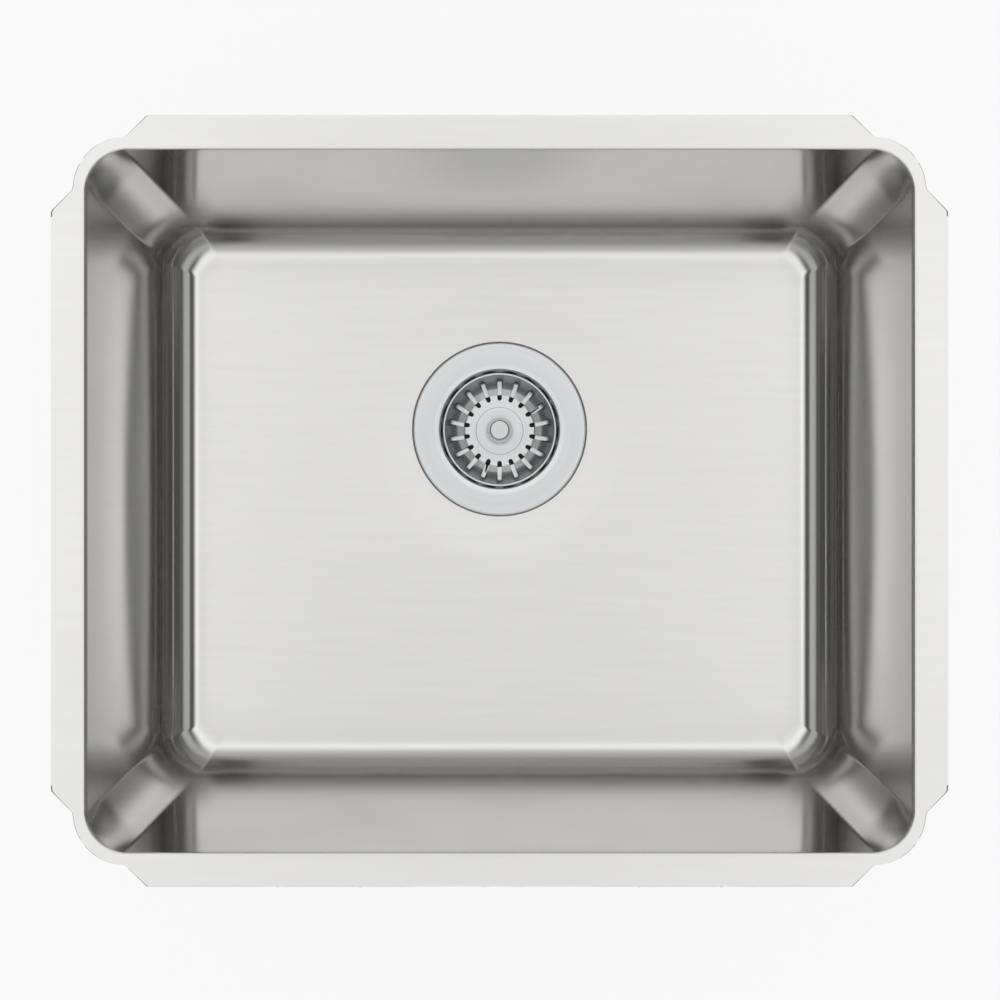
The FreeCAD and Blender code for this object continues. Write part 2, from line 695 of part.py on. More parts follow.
def make_wall_pad(name, heading, half_opening, length):
    """A flat pad on the outside of one wall; `heading` is the wall's direction in degrees."""
    body = new_body(name)
    sketch = new_sketch(body, f"{name}_outline", "XY_Plane")
    draw_rounded_rectangle(sketch, s.wall_pad_height, length, s.pad_corner_radius)
    add_pad(body, sketch, s.pad_thickness)
    reach = half_opening + s.sheet_gauge / cosine(s.wall_draft) - s.wall_pad_level * tangent(s.wall_draft)
    away = Vector(round(math.cos(math.radians(heading))), round(math.sin(math.radians(heading))), 0)
    pitch = 90 + s.wall_draft.value
    place = Vector(away.x * reach.value, away.y * reach.value, -s.wall_pad_level.value)
    body.Placement = Placement(place, Rotation(heading, pitch, 0))
    body.setExpression("Placement", (
        f"placement(vector({away.x:g} * {reach.text}; {away.y:g} * {reach.text}; 0 - {s.wall_pad_level.text});"
        f" rotation({heading}; 90 + {s.wall_draft.text}; 0))"
    ))
    document.recompute()
    return body


# ---------------------------------------------------------------------------------------------
# Fixed part of the waste
# ---------------------------------------------------------------------------------------------
def make_ring(name, inner, outer, bottom, thickness):
    """A flat ring: a gasket or a washer."""
    body = new_body(name, s.drain_offset)
    sketch = new_sketch(body, f"{name}_outline", "XY_Plane", bottom)
    draw_circle(sketch, outer)
    draw_circle(sketch, inner)
    add_pad(body, sketch, thickness)
    return body


def make_flange_gasket():
    """Gasket on the bowl's seat, whose top leans with the strainer's flange."""
    body = new_body("flange_gasket", s.drain_offset)
    slope = s.cup_flange_fall / (s.cup_flange_radius - s.cup_mouth_radius)
    skin = s.cup_gauge / cosine_of_slope(slope) + s.running_clearance

    def under_flange(radius):
        return strainer_top - skin - (s.cup_flange_radius - radius) * slope

    inner = s.cup_mouth_radius + s.cup_gauge + s.cup_bend + s.seat_clearance
    outer = s.cup_flange_radius - s.cup_gauge - s.cup_edge_bend - s.seat_clearance
    add_turn(body, "flange_gasket_profile", [
        (inner, under_flange(inner)),
        (outer, under_flange(outer)),
        (outer, seat_level),
        (inner, seat_level),
    ])
    return body


def make_strainer_cup():
    """Pressed cup: turned-down flange, flared mouth, drain slots and the clamp screw's well."""
    body = new_body("strainer_cup", s.drain_offset)
    add_pressing(body, "cup_profile", [
        (screw_hole, well_floor, None),
        (s.well_radius, well_floor, None),
        (s.well_radius, cup_floor, None),
        (s.cup_floor_radius, cup_floor, s.cup_bend),
        (s.cup_belly_radius, strainer_top - s.cup_belly_level, s.cup_bend),
        (s.cup_neck_radius, strainer_top - s.cup_neck_level, None),
        (s.cup_mouth_radius, strainer_top - s.cup_flange_fall, s.cup_bend),
        (s.cup_flange_radius, strainer_top, s.cup_edge_bend),
        (s.cup_flange_radius, strainer_top - s.cup_gauge - s.cup_edge_drop, None),
    ], s.cup_gauge)
    sketch = new_sketch(body, "outlet_slot", "XY_Plane")
    draw_kidney(sketch, s.outlet_slot_inner, s.outlet_slot_outer, s.outlet_slot_angle)
    slot = add_pocket_through(body, sketch)
    add_polar_pattern(body, slot, s.outlet_slot_count)
    return body


def make_clamp_screw():
    """Hollow screw whose head holds the cup down and whose bore takes the basket's spring clip."""
    body = new_body("clamp_screw", s.drain_offset)
    bore_bottom = stem_bottom - s.hole_clearance * 2
    add_turn(body, "screw_profile", [
        (screw_bore, head_top),
        (s.screw_head_radius - s.screw_chamfer, head_top),
        (s.screw_head_radius, head_top - s.screw_chamfer),
        (s.screw_head_radius, head_bottom),
        (s.screw_radius, head_bottom),
        (s.screw_radius, screw_tip + s.screw_chamfer),
        (s.screw_radius - s.screw_chamfer, screw_tip),
        (ZERO, screw_tip),
        (ZERO, bore_bottom),
        (screw_bore, bore_bottom),
    ])
    sketch = new_sketch(body, "driving_slot", "XY_Plane", head_top)
    half = s.screw_slot_width / 2
    reach = s.screw_head_radius + OVERSHOOT
    draw_polygon(sketch, [(-reach, -half), (reach, -half), (reach, half), (-reach, half)])
    add_pocket(body, sketch, s.screw_slot_depth)
    return body


def make_insert():
    body = new_body("threaded_insert", s.drain_offset)
    sketch = new_sketch(body, "insert_outline", "XY_Plane", insert_bottom)
    draw_circle(sketch, insert_radius)
    draw_circle(sketch, insert_bore)
    add_pad(body, sketch, s.insert_length)
    return body


def make_waste_body():
    """Moulded housing: clamping ring, chamber, funnel and threaded outlet, with the insert's boss."""
    body = new_body("waste_body", s.drain_offset)
    outer = s.chamber_radius + s.body_wall
    add_turn(body, "housing_profile", [
        (s.chamber_radius, ring_top),
        (s.underside_gasket_outer_radius, ring_top),
        (s.underside_gasket_outer_radius, ring_bottom),
        (outer, ring_bottom),
        (outer, chamber_bottom),
        (s.outlet_radius, funnel_bottom),
        (s.outlet_radius, outlet_bottom),
        (outlet_bore, outlet_bottom),
        (outlet_bore, funnel_bottom),
        (s.chamber_radius, chamber_bottom),
    ])
    half = s.web_thickness / 2
    web_sketch = new_sketch(body, "web", "XY_Plane", insert_bottom)
    near = boss_bore + s.boss_wall / 2
    far = outlet_bore + s.body_wall / 2
    draw_polygon(web_sketch, [(near, -half), (far, -half), (far, half), (near, half)])
    web = add_pad(body, web_sketch, s.web_depth)
    add_polar_pattern(body, web, s.web_count)
    add_turn(body, "insert_boss", [
        (boss_bore, insert_top),
        (boss_radius, insert_top),
        (boss_radius, insert_bottom),
        (boss_bore, insert_bottom),
    ])
    return body


# ---------------------------------------------------------------------------------------------
# Basket and what lifts with it
# ---------------------------------------------------------------------------------------------
def make_basket():
    """Pressed basket: stem disc, slotted floor and cone, and a folded rim."""
    body = new_body("strainer_basket", s.drain_offset)
    add_pressing(body, "basket_profile", [
        (stem_hole, knob_bottom, None),
        (s.basket_disc_radius - s.basket_gauge, knob_bottom, None),
        (s.basket_disc_radius + s.basket_gauge, basket_floor, None),
        (s.basket_floor_radius, basket_floor, s.basket_bend),
        (s.basket_mouth_radius, rim_level, None),
    ], s.basket_gauge)
    add_turn(body, "rim_fold", [
        (s.basket_mouth_radius, rim_level),
        (s.basket_rim_radius, rim_level),
        (s.basket_rim_radius, rim_level - s.basket_rim_height),
        (s.basket_mouth_radius, rim_level - s.basket_rim_height),
    ])
    sketch = new_sketch(body, "basket_slot", "XY_Plane")
    draw_slot(sketch, s.basket_slot_inner, s.basket_slot_outer, s.basket_slot_width)
    slot = add_pocket_through(body, sketch)
    add_polar_pattern(body, slot, s.basket_slot_count)
    return body


def make_knob():
    body = new_body("basket_knob", s.drain_offset)
    waist_bottom = knob_bottom + s.knob_waist_level
    waist_top = waist_bottom + s.knob_waist_height
    top = knob_bottom + s.knob_height
    bore = s.stem_radius + s.running_clearance
    bore_top = knob_bottom + s.stem_engagement + s.seat_clearance
    add_turn(body, "knob_profile", [
        (bore, knob_bottom),
        (s.knob_radius, knob_bottom),
        (s.knob_radius, waist_bottom - s.knob_waist_lead),
        (s.knob_waist_radius, waist_bottom),
        (s.knob_waist_radius, waist_top),
        (s.knob_radius, waist_top + s.knob_waist_lead),
        (s.knob_radius, top, s.knob_edge_radius),
        (ZERO, top),
        (ZERO, bore_top),
        (bore, bore_top),
    ])
    return body


def make_stem():
    body = new_body("basket_stem", s.drain_offset)
    add_turn(body, "stem_profile", [
        (ZERO, knob_bottom + s.stem_engagement),
        (s.stem_radius, knob_bottom + s.stem_engagement),
        (s.stem_radius, stem_foot_top),
        (s.stem_foot_radius, stem_foot_top),
        (s.stem_foot_radius, stem_bottom),
        (ZERO, stem_bottom),
    ])
    return body


def make_seal():
    """Rubber stopper disc with a drooping lip, under the basket's floor."""
    body = new_body("basket_seal", s.drain_offset)
    lip_top = seal_bottom + s.seal_lip_thickness
    add_turn(body, "seal_profile", [
        (stem_hole, basket_underside),
        (s.seal_hub_radius, basket_underside),
        (s.seal_radius, lip_top),
        (s.seal_radius, seal_bottom),
        (stem_hole, seal_bottom),
    ])
    return body


def make_nut():
    body = new_body("stem_nut", s.drain_offset)
    sketch = new_sketch(body, "nut_outline", "XY_Plane", nut_bottom)
    apothem = s.nut_across_flats / 2
    corner = apothem / cosine(HEXAGON_SLANT)
    half = corner / 2
    draw_polygon(sketch, [
        (corner, ZERO), (half, apothem), (-half, apothem), (-corner, ZERO), (-half, -apothem), (half, -apothem),
    ])
    draw_circle(sketch, s.stem_radius + s.running_clearance)
    add_pad(body, sketch, s.nut_height)
    return body


def make_spring_clip():
    """Split sleeve on the stem that grips the clamp screw's bore."""
    body = new_body("spring_clip", s.drain_offset)
    add_turn(body, "clip_profile", [
        (clip_bore, clip_top),
        (clip_radius, clip_top),
        (clip_radius, clip_bottom),
        (clip_bore, clip_bottom),
    ])
    half = s.clip_slit_width / 2
    reach = clip_radius + OVERSHOOT
    sketch = new_sketch(body, "clip_slit", "XY_Plane", clip_bottom + s.clip_slit_length)
    near = clip_bore / 2
    draw_polygon(sketch, [(near, -half), (reach, -half), (reach, half), (near, half)])
    slit = add_pocket(body, sketch, s.clip_slit_length + OVERSHOOT)
    add_polar_pattern(body, slit, s.clip_slit_count)
    return body


subparts = [
    make_bowl(),
    make_base_pad(),
    make_wall_pad("right_sound_pad", 0, s.opening_width / 2, s.side_pad_length),
    make_wall_pad("back_sound_pad", 90, s.opening_depth / 2, s.end_pad_length),
    make_wall_pad("left_sound_pad", 180, s.opening_width / 2, s.side_pad_length),
    make_wall_pad("front_sound_pad", 270, s.opening_depth / 2, s.end_pad_length),
    make_flange_gasket(),
    make_ring("underside_gasket", s.underside_gasket_inner_radius, s.underside_gasket_outer_radius,
              ring_top, s.underside_gasket_thickness),
    make_strainer_cup(),
    make_waste_body(),
    make_insert(),
    make_clamp_screw(),
    make_ring("clamp_washer", screw_hole, s.clamp_washer_radius, well_floor, s.clamp_washer_thickness),
    make_basket(),
    make_knob(),
    make_stem(),
    make_seal(),
    make_ring("seal_washer", stem_hole, s.seal_washer_radius, seal_washer_bottom, s.seal_washer_thickness),
    make_nut(),
    make_spring_clip(),
]
document.recompute()

# ---------------------------------------------------------------------------------------------
# Every object must have computed before anything is written
# ---------------------------------------------------------------------------------------------
for thing in document.Objects:
    for state in thing.State:
        if state in ("Invalid", "Error"):
            raise RuntimeError(f"{thing.Name} is {state}")
for subpart in subparts:
    if subpart.Shape.isNull() or not subpart.Shape.isValid():
        raise RuntimeError(f"{subpart.Label} has no valid shape")
    if len(subpart.Shape.Solids) != 1:
        raise RuntimeError(f"{subpart.Label} is {len(subpart.Shape.Solids)} solids")

os.makedirs("parts", exist_ok=True)
for subpart in subparts:
    subpart.Shape.exportStep(f"parts/{subpart.Label}.step")
    box = subpart.Shape.BoundBox
    print(f"{subpart.Label:18s} volume {subpart.Shape.Volume / 1000:9.3f} cm3"
          f"  z {box.ZMin:8.2f} to {box.ZMax:8.2f}")
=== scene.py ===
import json
import logging
import math
from collections.abc import Iterator, Sequence
from contextlib import contextmanager
from dataclasses import dataclass, field
from enum import Enum
from typing import Any

import bmesh
import bpy
import numpy as np
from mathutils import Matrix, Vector


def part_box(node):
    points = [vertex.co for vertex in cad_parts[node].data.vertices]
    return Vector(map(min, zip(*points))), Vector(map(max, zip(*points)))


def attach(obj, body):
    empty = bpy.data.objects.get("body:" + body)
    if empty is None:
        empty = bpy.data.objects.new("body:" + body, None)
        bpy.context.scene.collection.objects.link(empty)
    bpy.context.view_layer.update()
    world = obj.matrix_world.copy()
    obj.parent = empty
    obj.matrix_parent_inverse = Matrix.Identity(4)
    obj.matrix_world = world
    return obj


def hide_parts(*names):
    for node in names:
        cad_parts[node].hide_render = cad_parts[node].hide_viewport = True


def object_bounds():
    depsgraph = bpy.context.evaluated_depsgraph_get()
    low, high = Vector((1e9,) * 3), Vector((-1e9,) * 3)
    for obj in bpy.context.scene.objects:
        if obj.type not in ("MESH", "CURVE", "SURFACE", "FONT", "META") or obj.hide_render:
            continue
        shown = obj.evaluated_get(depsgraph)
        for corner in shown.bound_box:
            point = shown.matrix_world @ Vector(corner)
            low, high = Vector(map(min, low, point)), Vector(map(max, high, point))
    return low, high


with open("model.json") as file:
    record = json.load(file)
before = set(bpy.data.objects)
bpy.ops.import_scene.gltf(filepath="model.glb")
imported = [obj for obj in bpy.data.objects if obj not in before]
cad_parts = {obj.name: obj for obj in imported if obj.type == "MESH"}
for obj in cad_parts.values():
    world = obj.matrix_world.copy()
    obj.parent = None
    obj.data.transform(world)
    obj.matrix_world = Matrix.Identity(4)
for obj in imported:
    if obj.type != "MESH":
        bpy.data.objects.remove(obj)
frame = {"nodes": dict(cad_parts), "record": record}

# An undermount kitchen sink in brushed stainless steel with its basket strainer waste.
# Metres, +Z up.  The origin is the centre of the opening in the flange's top face.

log = logging.getLogger("sink")

MM = 0.001
# how near two points are to be one: along a turned piece's seam, and between repeated copies
SEAM_MERGE = 1e-6
COPY_MERGE = 2e-6
QUARTER_TURN = math.pi / 2
EIGHTH_TURN = math.pi / 4
# how much of its radius a 45 degree bend takes up on each side of its corner
BEND_REACH = math.tan(math.pi / 8)
# where the values of a noise texture mostly lie
WIDE_NOISE = (0.25, 0.75)
NOISE = (0.3, 0.7)
CAD_LOW, CAD_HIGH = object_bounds()
BOWL_LOW, BOWL_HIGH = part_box("bowl")
CUP_LOW, CUP_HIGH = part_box("strainer_cup")
BASKET_LOW, BASKET_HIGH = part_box("strainer_basket")
KNOB_LOW, KNOB_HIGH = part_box("basket_knob")
DRAIN = Vector((0.0, (CUP_LOW[1] + CUP_HIGH[1]) / 2, 0.0))

Point = tuple[float, float]
Corner = tuple[float, float, float]
Color = tuple[float, float, float]
Sockets = dict[str, tuple[str, Any]]


class Body(Enum):
    """The moving bodies that pieces ride on."""

    SINK = "sink"
    BASKET = "basket"


class Grain(Enum):
    """Which way the lines of a finish run."""

    ALONG_SHEET = "along"
    ROUND_DRAIN = "round"


class SizeFile(Enum):
    """An empty set of names, which nothing uses."""



# ---------------------------------------------------------------------------------------------
# Node graphs
# ---------------------------------------------------------------------------------------------
class Graph:
    """Short calls for building a node tree."""

    def __init__(self, tree: bpy.types.NodeTree) -> None:
        """Wraps a tree.

        Args:
            tree: the geometry or shader tree that the nodes go into.
        """
        self.tree = tree

    def node(self, kind: str, values: dict[str | int, Any] | None = None,
             **settings: Any) -> bpy.types.Node:
        """Adds a node, sets its options and fills its inputs.

        Args:
            kind: the node's type.
            values: input names or numbers, each with a socket to link or a plain value.
            settings: the node's own properties.

        Returns:
            The new node.
        """
        node = self.tree.nodes.new(kind)
        for name, value in settings.items():
            setattr(node, name, value)
        for name, value in (values or {}).items():
            self.feed(node.inputs[name], value)
        return node

    def feed(self, socket: bpy.types.NodeSocket, value: Any) -> None:
        """Links a socket to the input, or sets the input's plain value."""
        if isinstance(value, bpy.types.NodeSocket):
            self.tree.links.new(value, socket)
        else:
            socket.default_value = value

    def math(self, operation: str, *values: Any) -> bpy.types.NodeSocket:
        """Result of a number operation on sockets or plain numbers."""
        return self.node("ShaderNodeMath", dict(enumerate(values)), operation=operation).outputs[0]

    def vector(self, operation: str, *values: Any) -> bpy.types.NodeSocket:
        """Vector result of a vector operation."""
        return self.node("ShaderNodeVectorMath", dict(enumerate(values)), operation=operation).outputs[0]

    def length(self, value: Any) -> bpy.types.NodeSocket:
        """Length of a vector."""
        return self.node("ShaderNodeVectorMath", {0: value}, operation="LENGTH").outputs["Value"]

    def split(self, value: Any) -> tuple[bpy.types.NodeSocket, ...]:
        """The three parts of a vector."""
        return tuple(self.node("ShaderNodeSeparateXYZ", {0: value}).outputs)

    def join(self, x: Any, y: Any, z: Any) -> bpy.types.NodeSocket:
        """A vector from its three parts."""
        return self.node("ShaderNodeCombineXYZ", {0: x, 1: y, 2: z}).outputs[0]

    def remap(self, value: Any, low: float, high: float, to_low: float, to_high: float,
              smooth: bool = False) -> bpy.types.NodeSocket:
        """Maps a range of numbers onto another and keeps to its ends.

        Args:
            value: the number to map.
            low: start of its range.
            high: end of its range.
            to_low: result at the start.
            to_high: result at the end.
            smooth: whether the change eases in and out.

        Returns:
            The mapped number.
        """
        kind = "SMOOTHSTEP" if smooth else "LINEAR"
        values = {0: value, 1: low, 2: high, 3: to_low, 4: to_high}
        return self.node("ShaderNodeMapRange", values, interpolation_type=kind).outputs[0]


def add_sockets(tree: bpy.types.NodeTree, inputs: Sockets, outputs: dict[str, str]) -> None:
    """Gives a node tree its named inputs and outputs.

    Args:
        tree: the tree.
        inputs: name to (socket type, first value or None).
        outputs: name to socket type.
    """
    for name, (kind, value) in inputs.items():
        socket = tree.interface.new_socket(name, in_out="INPUT", socket_type=kind)
        if value is not None:
            socket.default_value = value
    for name, kind in outputs.items():
        tree.interface.new_socket(name, in_out="OUTPUT", socket_type=kind)


def run_tree(obj: bpy.types.Object, tree: bpy.types.NodeTree, values: dict[str, Any]) -> None:
    """Runs a Geometry Nodes tree on an object and keeps the result as its plain mesh.

    Args:
        obj: the object that holds the tree's starting mesh.
        tree: the tree.
        values: input names with their values.
    """
    modifier = obj.modifiers.new("shape", "NODES")
    modifier.node_group = tree
    for item in tree.interface.items_tree:
        if item.item_type == "SOCKET" and item.in_out == "INPUT" and item.name in values:
            modifier[item.identifier] = values[item.name]
    apply_modifiers(obj)


class ShapeTrees:
    """The Geometry Nodes trees that shape this sink's pieces."""

    def __init__(self) -> None:
        """Builds every tree once."""
        self.turned = self._turned()
        self.round_drain = self._round_drain()
        self.pressed_walls = self._pressed_walls()

    def _start(self, name: str, inputs: Sockets) -> tuple[Graph, bpy.types.Node, bpy.types.Node]:
        """A tree with its sockets, its input node and its output node."""
        tree = bpy.data.node_groups.new(name, "GeometryNodeTree")
        ends = {"Geometry": ("NodeSocketGeometry", None)}
        ends.update(inputs)
        ends["Material"] = ("NodeSocketMaterial", None)
        add_sockets(tree, ends, {"Geometry": "NodeSocketGeometry"})
        graph = Graph(tree)
        return graph, graph.node("NodeGroupInput"), graph.node("NodeGroupOutput")

    def _end(self, graph: Graph, given: bpy.types.Node, out: bpy.types.Node,
             shape: bpy.types.NodeSocket) -> None:
        """Realizes the shape, gives it its material and sends it out."""
        real = graph.node("GeometryNodeRealizeInstances", {"Geometry": shape})
        dressed = graph.node("GeometryNodeSetMaterial", {
            "Geometry": real.outputs[0], "Material": given.outputs["Material"],
        })
        graph.feed(out.inputs["Geometry"], dressed.outputs[0])

    def _sheet_of_points(self, graph: Graph, columns: Any, rows: Any) -> tuple[bpy.types.NodeSocket, ...]:
        """A flat grid, with each point's place along it (0 to 1) and its row number."""
        grid = graph.node("GeometryNodeMeshGrid", {
            "Size X": 1.0, "Size Y": 1.0,
            "Vertices X": graph.math("ADD", columns, 1.0), "Vertices Y": rows,
        })
        x, y, _ = graph.split(graph.node("GeometryNodeInputPosition").outputs[0])
        along = graph.math("ADD", x, 0.5)
        last = graph.math("SUBTRACT", rows, 1.0)
        row = graph.math("ROUND", graph.math("MULTIPLY", graph.math("ADD", y, 0.5), last))
        return grid.outputs["Mesh"], along, row

    def _sample(self, graph: Graph, mesh: Any, index: Any, value: Any,
                kind: str = "FLOAT_VECTOR") -> bpy.types.NodeSocket:
        """Value of another mesh at a point number."""
        node = graph.node("GeometryNodeSampleIndex", {"Geometry": mesh, "Index": index, "Value": value},
                          data_type=kind)
        return node.outputs["Value"]

    def _turned(self) -> bpy.types.NodeTree:
        """Turns a profile, whose points are (radius, 0, level), round an axis or along a thread."""
        graph, given, out = self._start("turned profile", {
            "Segments": ("NodeSocketInt", 96),
            "Turns": ("NodeSocketFloat", 1.0),
            "Pitch": ("NodeSocketFloat", 0.0),
            "Centre": ("NodeSocketVector", None),
        })
        profile = given.outputs["Geometry"]
        rows = graph.node("GeometryNodeAttributeDomainSize", {"Geometry": profile}).outputs["Point Count"]
        sheet, along, row = self._sheet_of_points(graph, given.outputs["Segments"], rows)
        here = graph.node("GeometryNodeInputPosition").outputs[0]
        radius, _, level = graph.split(self._sample(graph, profile, row, here))
        turns = graph.math("MULTIPLY", along, given.outputs["Turns"])
        angle = graph.math("MULTIPLY", turns, math.tau)
        rise = graph.math("MULTIPLY_ADD", turns, given.outputs["Pitch"], level)
        place = graph.join(
            graph.math("MULTIPLY", radius, graph.math("COSINE", angle)),
            graph.math("MULTIPLY", radius, graph.math("SINE", angle)),
            rise,
        )
        moved = graph.node("GeometryNodeSetPosition", {
            "Geometry": sheet, "Position": graph.vector("ADD", place, given.outputs["Centre"]),
        })
        merged = graph.node("GeometryNodeMergeByDistance", {
            "Geometry": moved.outputs[0], "Distance": SEAM_MERGE,
        })
        self._end(graph, given, out, merged.outputs[0])
        return graph.tree

    def _round_drain(self) -> bpy.types.NodeTree:
        """Repeats a piece evenly round the drain's axis and joins the copies where they meet."""
        graph, given, out = self._start("repeat round the drain", {
            "Count": ("NodeSocketInt", 18),
            "First": ("NodeSocketFloat", 0.0),
            "Centre": ("NodeSocketVector", None),
        })
        count = given.outputs["Count"]
        points = graph.node("GeometryNodePoints", {"Count": count, "Position": given.outputs["Centre"]})
        index = graph.node("GeometryNodeInputIndex").outputs[0]
        share = graph.math("DIVIDE", index, count)
        angle = graph.math("MULTIPLY_ADD", share, math.tau, given.outputs["First"])
        copies = graph.node("GeometryNodeInstanceOnPoints", {
            "Points": points.outputs[0], "Instance": given.outputs["Geometry"],
        })
        turn = graph.node("FunctionNodeEulerToRotation", {0: graph.join(0.0, 0.0, angle)})
        graph.feed(copies.inputs["Rotation"], turn.outputs[0])
        real = graph.node("GeometryNodeRealizeInstances", {"Geometry": copies.outputs[0]})
        merged = graph.node("GeometryNodeMergeByDistance", {
            "Geometry": real.outputs[0], "Distance": COPY_MERGE,
        })
        self._end(graph, given, out, merged.outputs[0])
        return graph.tree

    def _pressed_walls(self) -> bpy.types.NodeTree:
        """Walls of a pressed bowl: rings of rounded rectangles that follow a profile downwards.

        The starting mesh holds one point per column, whose place (-1 to 1) says where it lies along
        the sides and whose "outward" attribute is the direction that it faces.  The profile object
        holds one point per ring, as (inset, corner radius, level).  Its "bow" attribute says how far
        the middle of a side wall swells there, "further" how much further in the front and back walls
        stand, and "flatness" how far each corner's arc nears its chord.
        """
        graph, given, out = self._start("pressed walls", {
            "Profile": ("NodeSocketObject", None),
            "Half Width": ("NodeSocketFloat", 0.2),
            "Half Depth": ("NodeSocketFloat", 0.2),
        })
        columns = given.outputs["Geometry"]
        source = graph.node("GeometryNodeObjectInfo", {"Object": given.outputs["Profile"]})
        profile = source.outputs["Geometry"]
        count = graph.node("GeometryNodeAttributeDomainSize", {"Geometry": columns}).outputs["Point Count"]
        rows = graph.node("GeometryNodeAttributeDomainSize", {"Geometry": profile}).outputs["Point Count"]
        sheet, along, row = self._sheet_of_points(graph, count, rows)
        column = graph.math("MODULO", graph.math("ROUND", graph.math("MULTIPLY", along, count)), count)

        def named(mesh: Any, index: Any, name: str, kind: str = "FLOAT") -> bpy.types.NodeSocket:
            """A named attribute of another mesh at a point number."""
            value = graph.node("GeometryNodeInputNamedAttribute", {"Name": name}, data_type=kind).outputs[0]
            return self._sample(graph, mesh, index, value, kind)

        here = graph.node("GeometryNodeInputPosition").outputs[0]
        share_x, share_y, _ = graph.split(self._sample(graph, columns, column, here))
        outward = named(columns, column, "outward", "FLOAT_VECTOR")
        inset, corner, level = graph.split(self._sample(graph, profile, row, here))
        bow, flatness, further = (named(profile, row, name) for name in ("bow", "flatness", "further"))
        shrink = graph.math("ADD", inset, corner)
        reach_x = graph.math("SUBTRACT", given.outputs["Half Width"], shrink)
        reach_y = graph.math("SUBTRACT", given.outputs["Half Depth"], graph.math("ADD", shrink, further))
        face_x, face_y, _ = graph.split(outward)
        from_ends = graph.math("SUBTRACT", 1.0, graph.math("MULTIPLY", share_y, share_y))
        swell = graph.math("MULTIPLY", from_ends, graph.math("MULTIPLY", face_x, face_x))
        turned = graph.math("ADD", graph.math("ABSOLUTE", face_x), graph.math("ABSOLUTE", face_y))
        to_chord = graph.math("SUBTRACT", graph.math("DIVIDE", 1.0, turned), 1.0)
        reach = graph.math("MULTIPLY", corner, graph.math("MULTIPLY_ADD", to_chord, flatness, 1.0))
        push = graph.math("MULTIPLY_ADD", swell, bow, reach)
        centre = graph.join(
            graph.math("MULTIPLY", share_x, reach_x), graph.math("MULTIPLY", share_y, reach_y), level,
        )
        edge = graph.node("ShaderNodeVectorMath", {0: outward, "Scale": push}, operation="SCALE").outputs[0]
        moved = graph.node("GeometryNodeSetPosition", {
            "Geometry": sheet, "Position": graph.vector("ADD", centre, edge),
        })
        self._end(graph, given, out, moved.outputs[0])
        return graph.tree


# ---------------------------------------------------------------------------------------------
# Meshes
# ---------------------------------------------------------------------------------------------
def new_object(name: str, points: Any, faces: Sequence[Sequence[int]] = (),
               edges: Sequence[Sequence[int]] = ()) -> bpy.types.Object:
    """A mesh object at the origin.

    Args:
        name: the piece's name.
        points: its points, in metres.
        faces: point numbers of each face.
        edges: point numbers of each loose edge.

    Returns:
        The object, linked to the scene.
    """
    mesh = bpy.data.meshes.new(name)
    mesh.from_pydata([tuple(map(float, point)) for point in points], list(edges), list(faces))
    mesh.update()
    obj = bpy.data.objects.new(name, mesh)
    bpy.context.scene.collection.objects.link(obj)
    return obj


@contextmanager
def editing(obj: bpy.types.Object) -> Iterator[bmesh.types.BMesh]:
    """A piece's mesh, open for editing, which goes back into the piece at the end."""
    work = bmesh.new()
    work.from_mesh(obj.data)
    yield work
    work.to_mesh(obj.data)
    work.free()


def smooth(obj: bpy.types.Object, sharp_over: float = 35.0) -> None:
    """Shades a piece smooth, with sharp edges where it turns by more than so many degrees."""
    obj.data.shade_smooth()
    obj.data.set_sharp_from_angle(angle=math.radians(sharp_over))


def tidy(obj: bpy.types.Object, outward: bool = False, merge: float = SEAM_MERGE) -> None:
    """Merges doubles, drops faces and edges of no size, and can turn a closed piece's faces outwards.

    Args:
        obj: the piece.
        outward: whether its faces are turned outwards.
        merge: how near two points are to be one.
    """
    with editing(obj) as work:
        bmesh.ops.remove_doubles(work, verts=work.verts, dist=merge)
        bmesh.ops.dissolve_degenerate(work, edges=work.edges, dist=merge / 10)
        if outward:
            bmesh.ops.recalc_face_normals(work, faces=work.faces)


def close_ends(obj: bpy.types.Object) -> None:
    """Fills the open ends of a swept piece and turns its faces outwards."""
    with editing(obj) as work:
        border = [edge for edge in work.edges if edge.is_boundary]
        bmesh.ops.holes_fill(work, edges=border, sides=0)
        bmesh.ops.recalc_face_normals(work, faces=work.faces)


def join_pieces(first: bpy.types.Object, others: Sequence[bpy.types.Object]) -> bpy.types.Object:
    """Joins plain meshes into the first one.

    Args:
        first: the object that stays.
        others: the objects that go into it.

    Returns:
        The first object.
    """
    with editing(first) as work:
        for obj in others:
            work.from_mesh(obj.data)
    for obj in others:
        bpy.data.objects.remove(obj)
    return first


def face_upwards(obj: bpy.types.Object) -> None:
    """Makes an open sheet's faces agree, and turns most of them towards +Z."""
    with editing(obj) as work:
        bmesh.ops.recalc_face_normals(work, faces=work.faces)
        if sum(face.normal.z * face.calc_area() for face in work.faces) < 0:
            bmesh.ops.reverse_faces(work, faces=work.faces)


def apply_modifiers(obj: bpy.types.Object) -> None:
    """Keeps the result of a piece's modifiers as its plain mesh."""
    graph = bpy.context.evaluated_depsgraph_get()
    made = bpy.data.meshes.new_from_object(obj.evaluated_get(graph), depsgraph=graph)
    obj.modifiers.clear()
    old = obj.data
    obj.data = made
    bpy.data.meshes.remove(old)
    made.name = obj.name


